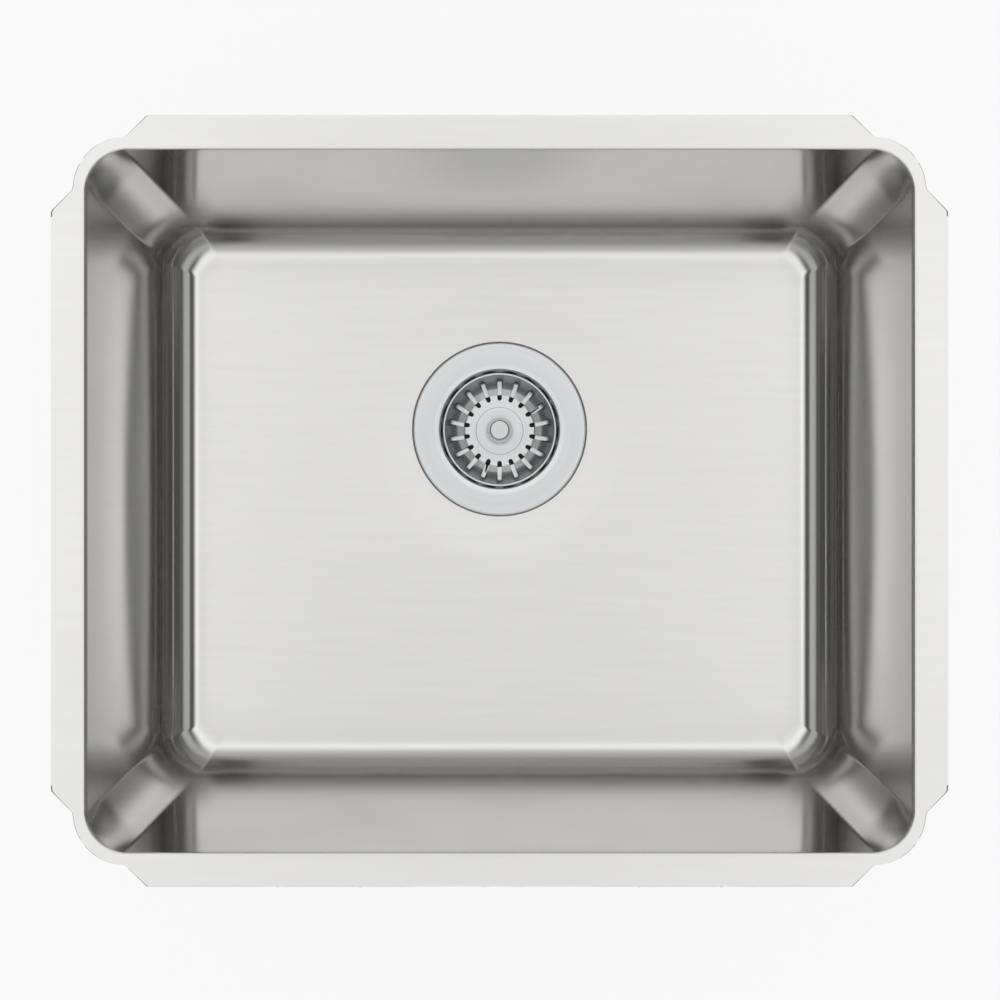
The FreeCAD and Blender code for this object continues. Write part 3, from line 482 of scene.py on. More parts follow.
def thicken(obj: bpy.types.Object, gauge: float, soft_edge: float = 0.0) -> None:
    """Gives a sheet its gauge behind its face, and a small round on its sharp edges.

    Args:
        obj: the sheet, whose faces point away from the side that gains the gauge.
        gauge: the sheet's thickness.
        soft_edge: width of the round, or 0 for none.
    """
    solid = obj.modifiers.new("gauge", "SOLIDIFY")
    solid.thickness = gauge
    solid.offset = -1.0
    solid.use_even_offset = True
    solid.use_quality_normals = True
    if soft_edge > 0:
        round_edges(obj, soft_edge)
    apply_modifiers(obj)


def round_edges(obj: bpy.types.Object, width: float, segments: int = 2, over: float = 50.0) -> None:
    """Adds a small round on the edges that turn by more than so many degrees, as a live modifier.

    Args:
        obj: the piece.
        width: width of the round.
        segments: how many flats the round has.
        over: the degrees past which an edge is rounded.
    """
    bevel = obj.modifiers.new("round", "BEVEL")
    bevel.width = width
    bevel.segments = segments
    bevel.limit_method = "ANGLE"
    bevel.angle_limit = math.radians(over)
    bevel.use_clamp_overlap = True
    bevel.harden_normals = False


def rounded_line(corners: Sequence[Corner], step: float = 14.0) -> list[Point]:
    """A line through corners, each rounded by its own radius.

    Args:
        corners: (across, up, radius) of each corner; the two ends have radius 0.
        step: most degrees between two points of an arc.

    Returns:
        The line's points.
    """
    line: list[Point] = []
    for index, (across, up, radius) in enumerate(corners):
        here = Vector((across, up))
        if radius <= 0 or index in (0, len(corners) - 1):
            line.append((across, up))
            continue
        into = (here - Vector(corners[index - 1][:2])).normalized()
        away = (Vector(corners[index + 1][:2]) - here).normalized()
        turn = math.atan2(into.x * away.y - into.y * away.x, into.dot(away))
        side = math.copysign(1.0, turn)
        start = here - into * radius * math.tan(abs(turn) / 2)
        centre = start + Vector((-into.y, into.x)) * radius * side
        arm = start - centre
        pieces = max(2, math.ceil(math.degrees(abs(turn)) / step))
        for piece in range(pieces + 1):
            angle = turn * piece / pieces
            c, s = math.cos(angle), math.sin(angle)
            line.append((centre.x + arm.x * c - arm.y * s, centre.y + arm.x * s + arm.y * c))
    return line


def ring_faces(rows: int, columns: int, start: int = 0) -> list[tuple[int, ...]]:
    """Faces between successive rings of the same number of points.

    Args:
        rows: how many rings.
        columns: how many points each has.
        start: number of the first ring's first point.

    Returns:
        The faces.
    """
    faces = []
    for row in range(rows - 1):
        for column in range(columns):
            a = start + row * columns + column
            b = start + row * columns + (column + 1) % columns
            faces.append((a, b, b + columns, a + columns))
    return faces


def ring_profile(inner: float, outer: float, start: float, stop: float, inner_bend: float,
                 outer_bend: float) -> list[Point]:
    """A flat ring's closed profile, which starts and ends in the middle of its bore.

    Args:
        inner: radius of its bore.
        outer: its outer radius.
        start: level of the face that the profile reaches first.
        stop: level of the other face.
        inner_bend: round of the bore's edges.
        outer_bend: round of the outer edges.

    Returns:
        The profile's points.
    """
    middle = (start + stop) / 2
    return rounded_line([
        (inner, middle, 0.0), (inner, start, inner_bend), (outer, start, outer_bend),
        (outer, stop, outer_bend), (inner, stop, inner_bend), (inner, middle, 0.0),
    ])


def between(first: Sequence[Vector], last: Sequence[Vector], shares: Sequence[float]) -> list[list[Vector]]:
    """Rings that lie between two rings, at shares of the way from the first to the last."""
    return [[a.lerp(b, share) for a, b in zip(first, last)] for share in shares]


def ease(value: float) -> float:
    """Rises from 0 to 1 with level ends."""
    value = min(max(value, 0.0), 1.0)
    return value * value * (3 - 2 * value)


# ---------------------------------------------------------------------------------------------
# Finishes
# ---------------------------------------------------------------------------------------------
class ShaderGroups:
    """Effects that several finishes share."""

    def __init__(self) -> None:
        """Builds every group once."""
        self.grain = self._grain()
        self.turning = self._turning()
        self.speckle = self._speckle()
        self.handling = self._handling()

    def _start(self, name: str, inputs: Sockets,
               outputs: dict[str, str]) -> tuple[Graph, bpy.types.Node, bpy.types.Node]:
        """A shader group with its sockets, its input node and its output node."""
        tree = bpy.data.node_groups.new(name, "ShaderNodeTree")
        add_sockets(tree, inputs, outputs)
        graph = Graph(tree)
        return graph, graph.node("NodeGroupInput"), graph.node("NodeGroupOutput")

    def _grain(self) -> bpy.types.NodeTree:
        """Straight brushed lines along X, which turn upright on the faces that look along X."""
        graph, given, out = self._start("brushed grain", {
            "Vector": ("NodeSocketVector", None),
            "Lines per Metre": ("NodeSocketFloat", 2600.0),
            "Breaks per Metre": ("NodeSocketFloat", 14.0),
        }, {"Lines": "NodeSocketFloat", "Streaks": "NodeSocketFloat"})
        x, y, z = graph.split(given.outputs["Vector"])
        fine = given.outputs["Lines per Metre"]
        long = given.outputs["Breaks per Metre"]
        normal = graph.node("ShaderNodeNewGeometry").outputs["Normal"]
        face_x = graph.math("ABSOLUTE", graph.split(normal)[0])
        upright = graph.remap(face_x, 0.35, 0.8, 0.0, 1.0, smooth=True)

        def lines(along: Any, across: Any, depth: Any, share: float) -> bpy.types.NodeSocket:
            """Noise drawn out along one direction."""
            place = graph.join(
                graph.math("MULTIPLY", along, long),
                graph.math("MULTIPLY", across, graph.math("MULTIPLY", fine, share)),
                graph.math("MULTIPLY", depth, graph.math("MULTIPLY", fine, share)),
            )
            return graph.node("ShaderNodeTexNoise", {
                "Vector": place, "Scale": 1.0, "Detail": 3.0, "Roughness": 0.6,
            }).outputs[0]

        for name, share in (("Lines", 1.0), ("Streaks", 0.09)):
            flat = lines(x, y, z, share)
            stood = lines(z, y, x, share)
            mixed = graph.node("ShaderNodeMix", {"Factor": upright, 2: flat, 3: stood}, data_type="FLOAT")
            graph.feed(out.inputs[name], mixed.outputs[0])
        return graph.tree

    def _turning(self) -> bpy.types.NodeTree:
        """Fine rings round an axis, as a lathe or a polishing wheel leaves them."""
        graph, given, out = self._start("turning marks", {
            "Vector": ("NodeSocketVector", None),
            "Centre": ("NodeSocketVector", None),
            "Rings per Metre": ("NodeSocketFloat", 1800.0),
        }, {"Rings": "NodeSocketFloat", "Bands": "NodeSocketFloat"})
        arm = graph.vector("SUBTRACT", given.outputs["Vector"], given.outputs["Centre"])
        x, y, z = graph.split(arm)
        radius = graph.length(graph.join(x, y, 0.0))
        sweep = graph.math("ARCTAN2", y, x)
        for name, share in (("Rings", 1.0), ("Bands", 0.12)):
            scale = graph.math("MULTIPLY", given.outputs["Rings per Metre"], share)
            place = graph.join(
                graph.math("MULTIPLY", radius, scale),
                graph.math("MULTIPLY", z, scale),
                graph.math("MULTIPLY", graph.math("SINE", sweep), 0.6),
            )
            noise = graph.node("ShaderNodeTexNoise", {"Vector": place, "Scale": 1.0, "Detail": 2.0})
            graph.feed(out.inputs[name], noise.outputs[0])
        return graph.tree

    def _speckle(self) -> bpy.types.NodeTree:
        """Fine pebbled skin of rubber and moulded plastic."""
        graph, given, out = self._start("moulded skin", {
            "Vector": ("NodeSocketVector", None),
            "Grains per Metre": ("NodeSocketFloat", 1500.0),
        }, {"Height": "NodeSocketFloat", "Patches": "NodeSocketFloat"})
        vector = given.outputs["Vector"]
        cells = graph.node("ShaderNodeTexVoronoi", {
            "Vector": vector, "Scale": given.outputs["Grains per Metre"],
        })
        soft = graph.remap(cells.outputs["Distance"], 0.0, 0.8, 1.0, 0.0, smooth=True)
        patches = graph.node("ShaderNodeTexNoise", {"Vector": vector, "Scale": 22.0, "Detail": 4.0})
        graph.feed(out.inputs["Height"], soft)
        graph.feed(out.inputs["Patches"], patches.outputs[0])
        return graph.tree

    def _handling(self) -> bpy.types.NodeTree:
        """Broad, faint unevenness that wiping and handling leave on metal."""
        graph, given, out = self._start("handling marks", {
            "Vector": ("NodeSocketVector", None),
            "Size": ("NodeSocketFloat", 9.0),
        }, {"Marks": "NodeSocketFloat"})
        noise = graph.node("ShaderNodeTexNoise", {
            "Vector": given.outputs["Vector"], "Scale": given.outputs["Size"],
            "Detail": 3.0, "Distortion": 0.4,
        })
        graph.feed(out.inputs["Marks"], graph.remap(noise.outputs[0], *NOISE, 0.0, 1.0, smooth=True))
        return graph.tree


@dataclass(frozen=True)
class Metal:
    """A metal whose lines run along the sheet or round the drain.

    Attributes:
        name: the material's name.
        color: its colour.
        roughness: how dull it is.
        anisotropy: how far its highlights are drawn out across the lines.
        grain: which way the lines run.
        lines: lines in a metre.
        relief: height of the lines, in metres.
        unevenness: how much the roughness changes over the surface.
        streaks: how much lighter and darker the lines are.
    """

    name: str
    color: Color
    roughness: float
    anisotropy: float
    grain: Grain
    lines: float
    relief: float
    unevenness: float
    streaks: float

    def build(self, groups: ShaderGroups) -> bpy.types.Material:
        """Makes the material.

        Args:
            groups: the shared effects.

        Returns:
            The material.
        """
        material, graph, shader, place = start_material(self.name)
        if self.grain is Grain.ALONG_SHEET:
            marks = graph.node("ShaderNodeGroup", {"Lines per Metre": self.lines}, node_tree=groups.grain)
            fine, broad = marks.outputs["Lines"], marks.outputs["Streaks"]
        else:
            marks = graph.node("ShaderNodeGroup", {
                "Centre": tuple(DRAIN), "Rings per Metre": self.lines,
            }, node_tree=groups.turning)
            fine, broad = marks.outputs["Rings"], marks.outputs["Bands"]
        graph.feed(marks.inputs["Vector"], place)
        handling = graph.node("ShaderNodeGroup", {"Vector": place}, node_tree=groups.handling)
        tint(graph, shader, self.color, graph.remap(broad, *WIDE_NOISE, *around(1.0, self.streaks)))
        spread = graph.remap(handling.outputs[0], 0.0, 1.0, *around(self.roughness, self.unevenness))
        drawn = graph.remap(fine, *NOISE, *around(0.0, self.unevenness))
        graph.feed(shader.inputs["Roughness"], graph.math("ADD", spread, drawn))
        raise_skin(graph, shader, fine, self.relief)
        shader.inputs["Metallic"].default_value = 1.0
        shader.inputs["Anisotropic"].default_value = self.anisotropy
        if self.anisotropy > 0:
            graph.feed(shader.inputs["Tangent"], self._tangent(graph, place))
        return material

    def _tangent(self, graph: Graph, place: bpy.types.NodeSocket) -> bpy.types.NodeSocket:
        """Direction across the lines at a point of the surface, along which highlights spread."""
        if self.grain is Grain.ALONG_SHEET:
            return graph.join(0.0, 1.0, 0.0)
        normal = graph.node("ShaderNodeNewGeometry").outputs["Normal"]
        arm = graph.vector("SUBTRACT", place, tuple(DRAIN))
        round_axis = graph.vector("CROSS_PRODUCT", (0.0, 0.0, 1.0), arm)
        return graph.vector("NORMALIZE", graph.vector("CROSS_PRODUCT", normal, round_axis))


@dataclass(frozen=True)
class Moulded:
    """Rubber or plastic with a fine moulded skin.

    Attributes:
        name: the material's name.
        color: its colour.
        roughness: how dull it is.
        grains: pebbles in a metre.
        relief: their height, in metres.
        mottle: how much the colour changes over the surface.
        dullness_spread: how much the roughness changes over the surface.
    """

    name: str
    color: Color
    roughness: float
    grains: float
    relief: float
    mottle: float
    dullness_spread: float = 0.05

    def build(self, groups: ShaderGroups) -> bpy.types.Material:
        """Makes the material.

        Args:
            groups: the shared effects.

        Returns:
            The material.
        """
        material, graph, shader, place = start_material(self.name)
        skin = graph.node("ShaderNodeGroup", {"Vector": place, "Grains per Metre": self.grains},
                          node_tree=groups.speckle)
        patches = skin.outputs["Patches"]
        tint(graph, shader, self.color, graph.remap(patches, *NOISE, *around(1.0, self.mottle)))
        dull = graph.remap(patches, *NOISE, *around(self.roughness, self.dullness_spread))
        graph.feed(shader.inputs["Roughness"], dull)
        raise_skin(graph, shader, skin.outputs["Height"], self.relief)
        return material


def start_material(name: str) -> tuple[bpy.types.Material, Graph, bpy.types.Node, bpy.types.NodeSocket]:
    """An empty material with its shader and its Object coordinates.

    Args:
        name: the material's name.

    Returns:
        The material, its graph, its Principled shader and the socket of its Object coordinates.
    """
    material = bpy.data.materials.new(name)
    material.use_nodes = True
    material.node_tree.nodes.clear()
    graph = Graph(material.node_tree)
    shader = graph.node("ShaderNodeBsdfPrincipled")
    out = graph.node("ShaderNodeOutputMaterial")
    graph.feed(out.inputs["Surface"], shader.outputs[0])
    place = graph.node("ShaderNodeTexCoord").outputs["Object"]
    return material, graph, shader, place


def around(middle: float, spread: float) -> Point:
    """The two ends of a range, from its middle and how far it goes to each side."""
    return middle - spread, middle + spread


def tint(graph: Graph, shader: bpy.types.Node, color: Color, tone: bpy.types.NodeSocket) -> None:
    """Sets a shader's colour, made lighter or darker by a tone."""
    tinted = graph.node("ShaderNodeVectorMath", {0: color, "Scale": tone}, operation="SCALE")
    graph.feed(shader.inputs["Base Color"], tinted.outputs[0])


def raise_skin(graph: Graph, shader: bpy.types.Node, height: bpy.types.NodeSocket, relief: float) -> None:
    """Raises a shader's surface by a height, whose most is the relief in metres."""
    bump = graph.node("ShaderNodeBump", {"Strength": 1.0, "Distance": relief, "Height": height})
    graph.feed(shader.inputs["Normal"], bump.outputs[0])


class Finishes:
    """Every finish on the sink, by the name of its material slot."""

    def __init__(self, groups: ShaderGroups) -> None:
        """Makes the materials.

        Args:
            groups: the shared effects.
        """
        along, rings = Grain.ALONG_SHEET, Grain.ROUND_DRAIN
        finishes = {
            "brushed_bowl": Metal(
                "brushed bowl steel", color=(0.69, 0.685, 0.675), roughness=0.17, anisotropy=0.88,
                grain=along, lines=2600.0, relief=0.8e-6, unevenness=0.012, streaks=0.015),
            "polished_strainer": Metal(
                "polished strainer steel", color=(0.63, 0.645, 0.648), roughness=0.2, anisotropy=0.3,
                grain=rings, lines=1500.0, relief=1.0e-6, unevenness=0.03, streaks=0.03),
            "knob_chrome": Metal(
                "knob chrome", color=(0.60, 0.605, 0.61), roughness=0.12, anisotropy=0.0,
                grain=rings, lines=1200.0, relief=0.5e-6, unevenness=0.02, streaks=0.01),
            "screw_steel": Metal(
                "turned screw steel", color=(0.60, 0.595, 0.585), roughness=0.28, anisotropy=0.4,
                grain=rings, lines=2200.0, relief=2.0e-6, unevenness=0.04, streaks=0.05),
            "spring_steel": Metal(
                "spring steel strip", color=(0.45, 0.45, 0.46), roughness=0.3, anisotropy=0.4,
                grain=along, lines=3000.0, relief=2.0e-6, unevenness=0.05, streaks=0.06),
            "insert_brass": Metal(
                "turned brass", color=(0.76, 0.57, 0.28), roughness=0.25, anisotropy=0.4,
                grain=rings, lines=2000.0, relief=2.0e-6, unevenness=0.04, streaks=0.05),
            "gasket_rubber": Moulded(
                "black gasket rubber", color=(0.028, 0.028, 0.029), roughness=0.55,
                grains=2600.0, relief=1.5e-5, mottle=0.12),
            "sound_pad": Moulded(
                "grey sound pad rubber", color=(0.105, 0.107, 0.112), roughness=0.72,
                grains=900.0, relief=6.0e-5, mottle=0.10),
            "waste_plastic": Moulded(
                "white moulded plastic", color=(0.78, 0.78, 0.765), roughness=0.42,
                grains=1600.0, relief=1.0e-5, mottle=0.02),
        }
        self.by_slot = {slot: finish.build(groups) for slot, finish in finishes.items()}

    def dress(self, obj: bpy.types.Object, slot: str) -> None:
        """Gives a piece its one material."""
        obj.data.materials.clear()
        obj.data.materials.append(self.by_slot[slot])


@dataclass
class Workshop:
    """What every sub-assembly needs to build its pieces."""

    shapes: ShapeTrees
    finishes: Finishes
    dressed_nodes: set[str] = field(default_factory=set)

    def finish_piece(self, obj: bpy.types.Object, slot: str, body: Body, *nodes: str) -> None:
        """Dresses a piece, sets what it stands for and what it rides on, and reports it.

        Args:
            obj: the piece.
            slot: its material slot.
            body: the body that it rides on.
            nodes: the CAD nodes that it stands for.
        """
        self.finishes.dress(obj, slot)
        if nodes:
            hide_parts(*nodes)
            self.dressed_nodes.update(nodes)
        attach(obj, body.value)
        log.info("%s: %d faces", obj.name, len(obj.data.polygons))

    def finish_closed(self, obj: bpy.types.Object, slot: str, body: Body, *nodes: str) -> None:
        """Turns a closed piece's faces outwards, shades it smooth and finishes it."""
        tidy(obj, outward=True)
        smooth(obj)
        self.finish_piece(obj, slot, body, *nodes)

    def turn(self, name: str, profile: Sequence[Point], segments: int = 96, turns: float = 1.0,
             pitch: float = 0.0) -> bpy.types.Object:
        """A piece turned round the drain's axis.

        Args:
            name: the piece's name.
            profile: (radius, level) of each point; a closed one ends where it starts.
            segments: how many straight pieces the turning has.
            turns: how far round it goes.
            pitch: how far it climbs each turn.

        Returns:
            The piece.
        """
        points = [(radius, 0.0, level) for radius, level in profile]
        edges = [(index, index + 1) for index in range(len(points) - 1)]
        obj = new_object(name, points, edges=edges)
        run_tree(obj, self.shapes.turned, {
            "Segments": segments, "Turns": turns, "Pitch": pitch, "Centre": tuple(DRAIN),
        })
        return obj

    def repeat(self, obj: bpy.types.Object, count: int, first: float = 0.0) -> None:
        """Repeats a piece, made round the origin, evenly round the drain's axis."""
        run_tree(obj, self.shapes.round_drain, {"Count": count, "First": first, "Centre": tuple(DRAIN)})


# ---------------------------------------------------------------------------------------------
# Bowl
# ---------------------------------------------------------------------------------------------
@dataclass(frozen=True)
class WallShape:
    """How a wall leans and meets the floor.

    Attributes:
        draft: its lean, in radians.
        foot: radius of the round at its foot.
    """

    draft: float
    foot: float


@dataclass(frozen=True)
class Columns:
    """The points of one ring round the bowl, all of whose rings match.

    Attributes:
        share: where each lies along its two sides, from -1 to 1.
        outward: the direction that it faces.
        run: how far it is from its side's middle.
        past_corner: its angle from the nearest end of its corner, or -1 on a straight side.
    """

    share: np.ndarray
    outward: np.ndarray
    run: np.ndarray
    past_corner: np.ndarray


@dataclass
class PressedBowl:
    """Bowl: flange, walls, foot, dished floor and the strainer's seat, as one pressed sheet."""

    shop: Workshop
    flange_width: float = 19.5 * MM
    corner_width: float = 7.0 * MM
    corner_radius: float = 22.5 * MM
    floor_corner: float = 11.0 * MM
    flat_corners: tuple[float, float, float] = (0.1, 0.45, 0.95)
    depth: float = 200.0 * MM
    side_wall: WallShape = WallShape(math.radians(4.2), 25.5 * MM)
    front_wall: WallShape = WallShape(math.radians(6.0), 22.0 * MM)
    roll: float = 1.2 * MM
    gauge: float = 1.2 * MM
    bow: float = 1.4 * MM
    bow_lowness: float = 1.8
    flat_gain: float = 4.0
    tip_round: float = 3.0 * MM
    blend_round: float = 4.0 * MM
    dish_radius: float = 92.0 * MM
    dish_fall: float = 2.0 * MM
    dish_soft: float = 0.3
    dish_lead: float = 10.0 * MM
    step_radius: float = 58.3 * MM
    step_lead: float = 1.6 * MM
    step_rounds: Point = (0.5 * MM, 0.3 * MM)
    seat_radius: float = 57.6 * MM
    seat_step: float = 2.5 * MM
    hole_radius: float = 45.0 * MM
    nib_places: tuple[float, ...] = (-126.0 * MM, -79.0 * MM, -9.4 * MM, 9.4 * MM, 79.0 * MM, 126.0 * MM)
    nib_width: float = 1.7 * MM
    nib_height: float = 0.3 * MM
    nib_soft: float = 0.15 * MM
    edge_round: float = 0.12 * MM
    side_points: tuple[int, int] = (22, 17)
    fine_lead: float = 6.0 * MM
    corner_steps: int = 20
    roll_rings: int = 8
    wall_rings: int = 34
    foot_rings: int = 20
    dish_rings: int = 18
    flange_shares: tuple[float, ...] = (0.0, 0.06, 0.5, 0.85, 0.94)
    floor_shares: tuple[float, ...] = (0.03, 0.2, 0.4, 0.6, 0.8)

    def __post_init__(self) -> None:
        """Works out the opening from the frame's box."""
        self.half_width = BOWL_HIGH[0] - self.flange_width
        self.half_depth = BOWL_HIGH[1] - self.flange_width

    def build(self) -> bpy.types.Object:
        """Makes and dresses the bowl.

        Returns:
            The bowl.
        """
        columns = self._columns()
        walls = self._walls(columns)
        flange = self._flange_rings(columns, walls[0])
        floor = self._floor_rings(walls[-1])
        rings = flange + walls + floor
        count = len(columns.run)
        bowl = new_object("bowl_pressing", np.vstack(rings), ring_faces(len(rings), count))
        tidy(bowl, merge=1e-7)
        thicken(bowl, self.gauge, self.edge_round)
        smooth(bowl, sharp_over=40.0)
        self.shop.finish_piece(bowl, "brushed_bowl", Body.SINK, "bowl")
        return bowl

    def _side_runs(self, half: float) -> list[float]:
        """Places along one straight side, close together where the flange narrows."""
        end = half - self.corner_radius
        slope = self.flange_width - self.corner_width
        fine_from = end - slope - self.fine_lead
        coarse = np.linspace(0.0, fine_from, self.side_points[0])
        fine = np.linspace(fine_from, end, self.side_points[1])[1:]
        places = sorted(set(coarse) | set(fine))
        return [-place for place in places[:0:-1]] + places

    def _columns(self) -> Columns:
        """The ring's points, from the right side's middle round to the left, back and front."""
        share, outward, run, past = [], [], [], []
        sides = [((1, 0), self.half_depth), ((0, 1), self.half_width),
                 ((-1, 0), self.half_depth), ((0, -1), self.half_width)]
        for (face_x, face_y), half in sides:
            straight = half - self.corner_radius
            places = self._side_runs(half)
            if face_y == -1:
                edges = [nib + side * self.nib_width / 2 for nib in self.nib_places for side in (-1, 1)]
                soft = [edge + side * self.nib_soft for edge in edges for side in (-1, 1)]
                places = sorted(set(places) | set(soft))
            for place in places:
                along = place / straight
                share.append((face_x if face_x else -face_y * along, face_y if face_y else face_x * along))
                outward.append((face_x, face_y, 0.0))
                run.append(-place * face_y if face_y else place * face_x)
                past.append(-1.0)
            start = math.atan2(face_y, face_x)
            middle = start + EIGHTH_TURN
            corner = (math.copysign(1, math.cos(middle)), math.copysign(1, math.sin(middle)))
            for piece in range(1, self.corner_steps):
                angle = QUARTER_TURN * piece / self.corner_steps
                share.append(corner)
                outward.append((math.cos(start + angle), math.sin(start + angle), 0.0))
                run.append(0.0)
                past.append(min(angle, QUARTER_TURN - angle))
        return Columns(np.array(share), np.array(outward), np.array(run), np.array(past))

    def _inset(self, level: float, wall: WallShape) -> float:
        """How far a wall stands in from the opening's edge at a level.

        Args:
            level: the level, from 0 at the flange down to the floor.
            wall: the wall's lean and foot.

        Returns:
            The distance.
        """
        draft, foot = wall.draft, wall.foot
        lean = math.tan(draft)
        foot_level = foot - self.depth
        if level > -self.roll * (1 - math.sin(draft)):
            angle = math.acos(min(1 + level / self.roll, 1.0))
            return self.roll * (math.sin(angle) + lean - 1 / math.cos(draft))
        if level > foot_level - foot * math.sin(draft):
            return -level * lean
        angle = math.asin(min((foot_level - level) / foot, 1.0))
        return foot / math.cos(draft) - foot_level * lean - foot * math.cos(angle)

    def wall_profile(self) -> list[tuple[float, ...]]:
        """Rings of the walls, from flange to floor.

        Returns:
            The rings as (inset, corner radius, level, bow, flatness, further inset at front and back).
        """
        at_rim, on_wall, on_floor = self.flat_corners
        draft, foot = self.side_wall.draft, self.side_wall.foot
        rings = []

        def ring(level: float, corner: float, bow: float, flatness: float) -> None:
            """Adds a ring."""
            inset = self._inset(level, self.side_wall)
            further = self._inset(level, self.front_wall) - inset
            rings.append((inset, corner - min(inset, 0.0), level, bow, flatness, further))

        for angle in np.linspace(0.0, QUARTER_TURN - draft, self.roll_rings):
            ring(self.roll * math.cos(angle) - self.roll, self.corner_radius, 0.0, at_rim)
        top = rings[-1][2]
        foot_level = foot - self.depth
        foot_top = foot_level - foot * math.sin(draft)
        for share in np.linspace(0.0, 1.0, self.wall_rings)[1:]:
            level = top + (foot_top - top) * share
            flatness = at_rim + (on_wall - at_rim) * ease(share * self.flat_gain)
            ring(level, self.corner_radius, self.bow * self._bow_share(level / foot_top), flatness)
        for angle in np.linspace(draft, QUARTER_TURN, self.foot_rings)[1:]:
            corner = self.floor_corner + (self.corner_radius - self.floor_corner) * math.cos(angle)
            flatness = on_wall + (on_floor - on_wall) * (1 - math.cos(angle))
            ring(foot_level - foot * math.sin(angle), corner, 0.0, flatness)
        return rings

    def _bow_share(self, down: float) -> float:
        """Share of the bow at a share of the way down, most below half way."""
        return math.sin(math.pi * down ** self.bow_lowness) ** 2

    def _walls(self, columns: Columns) -> list[np.ndarray]:
        """Runs the walls' tree and reads its rings back.

        Args:
            columns: the ring's points.

        Returns:
            The rings' points, from the flange to the floor.
        """
        profile_rings = self.wall_profile()
        profile = new_object("wall_profile", [ring[:3] for ring in profile_rings])
        for name, place in (("bow", 3), ("flatness", 4), ("further", 5)):
            values = profile.data.attributes.new(name, "FLOAT", "POINT")
            values.data.foreach_set("value", [ring[place] for ring in profile_rings])
        start = new_object("wall_columns", [(x, y, 0.0) for x, y in columns.share])
        facing = start.data.attributes.new("outward", "FLOAT_VECTOR", "POINT")
        facing.data.foreach_set("vector", columns.outward.ravel())
        run_tree(start, self.shop.shapes.pressed_walls, {
            "Profile": profile, "Half Width": self.half_width, "Half Depth": self.half_depth,
        })
        count, rows = len(columns.run), len(profile_rings)
        points = np.empty(len(start.data.vertices) * 3)
        start.data.vertices.foreach_get("co", points)
        grid = points.reshape(count + 1, rows, 3)
        bpy.data.objects.remove(start)
        bpy.data.objects.remove(profile)
        return [grid[:count, row, :] for row in range(rows)]

    def _flange_reach(self, columns: Columns, index: int) -> float:
        """Width of the flange at a column, with its tips and hollow corners rounded and its nibs."""
        outward = columns.outward[index]
        wide, narrow = self.flange_width, self.corner_width
        straight = (self.half_depth if abs(outward[0]) > 0.5 else self.half_width) - self.corner_radius
        if columns.past_corner[index] >= 0:
            past = columns.past_corner[index] * (self.corner_radius + narrow)
            return self._soft_bend(narrow, -past, self.blend_round, narrow)
        short = straight - abs(columns.run[index])
        reach = min(narrow + max(short, 0.0), wide)
        reach = self._soft_bend(reach, short, self.blend_round, narrow)
        to_tip = short - (wide - narrow)
        tangent = self.tip_round * BEND_REACH
        if -tangent * math.sqrt(0.5) < to_tip < tangent:
            across = tangent - to_tip
            reach = wide - (self.tip_round - math.sqrt(max(self.tip_round ** 2 - across ** 2, 0.0)))
        if outward[1] < -0.5:
            run = abs(columns.run[index])
            on_nib = any(abs(run - abs(nib)) < self.nib_width / 2 for nib in self.nib_places)
            if short > wide - narrow + tangent and not on_nib:
                reach -= self.nib_height
        return reach

    def _soft_bend(self, reach: float, short: float, radius: float, narrow: float) -> float:
        """Rounds the hollow corner where a wide strip ends."""
        tangent = radius * BEND_REACH
        if -tangent < short < tangent * math.sqrt(0.5):
            across = tangent + short
            return narrow + radius - math.sqrt(max(radius ** 2 - across ** 2, 0.0))
        return reach

    def _flange_rings(self, columns: Columns, first: np.ndarray) -> list[np.ndarray]:
        """Rings of the flat flange, from its outer edge to the start of the roll.

        Args:
            columns: the ring's points.
            first: the walls' first ring.

        Returns:
            The rings.
        """
        reach = np.array([self._flange_reach(columns, index) for index in range(len(columns.run))])
        halves = np.array([self.half_width, self.half_depth])
        centre = columns.share * (halves - self.corner_radius)
        outer = np.zeros_like(first)
        outer[:, :2] = centre + columns.outward[:, :2] * (self.corner_radius + reach)[:, None]
        return [outer * (1 - share) + first * share for share in self.flange_shares]

    def dish_level(self, radius: float) -> float:
        """Level of the floor at a distance from the drain."""
        low = self.step_radius + self.step_lead
        share = max((self.dish_radius - radius) / (self.dish_radius - low), 0.0)
        soft = self.dish_soft
        fall = share * share / (2 * soft) if share < soft else share - soft / 2
        return -self.depth - self.dish_fall * fall / (1 - soft / 2)

    def _floor_rings(self, last: np.ndarray) -> list[np.ndarray]:
        """Rings of the floor, from the foot to the drain hole.

        Args:
            last: the walls' last ring.

        Returns:
            The rings.
        """
        centre = np.array([DRAIN.x, DRAIN.y])
        arms = last[:, :2] - centre
        away = arms / np.linalg.norm(arms, axis=1)[:, None]

        def circle(radius: float, level: float) -> np.ndarray:
            """A ring round the drain."""
            ring = np.empty_like(last)
            ring[:, :2] = centre + away * radius
            ring[:, 2] = level
            return ring

        far, near = self.dish_radius + self.dish_lead, self.step_radius + self.step_lead
        start = circle(far, -self.depth)
        rings = [last * (1 - share) + start * share for share in self.floor_shares]
        for radius in np.linspace(far, near, self.dish_rings):
            rings.append(circle(radius, self.dish_level(radius)))
        dish = -self.depth - self.dish_fall
        seat = dish - self.seat_step
        step = rounded_line([
            (near, dish, 0.0), (self.step_radius, dish, self.step_rounds[0]),
            (self.seat_radius, seat, self.step_rounds[1]), (self.hole_radius, seat, 0.0),
        ])
        rings.extend(circle(radius, level) for radius, level in step[1:])
        return rings

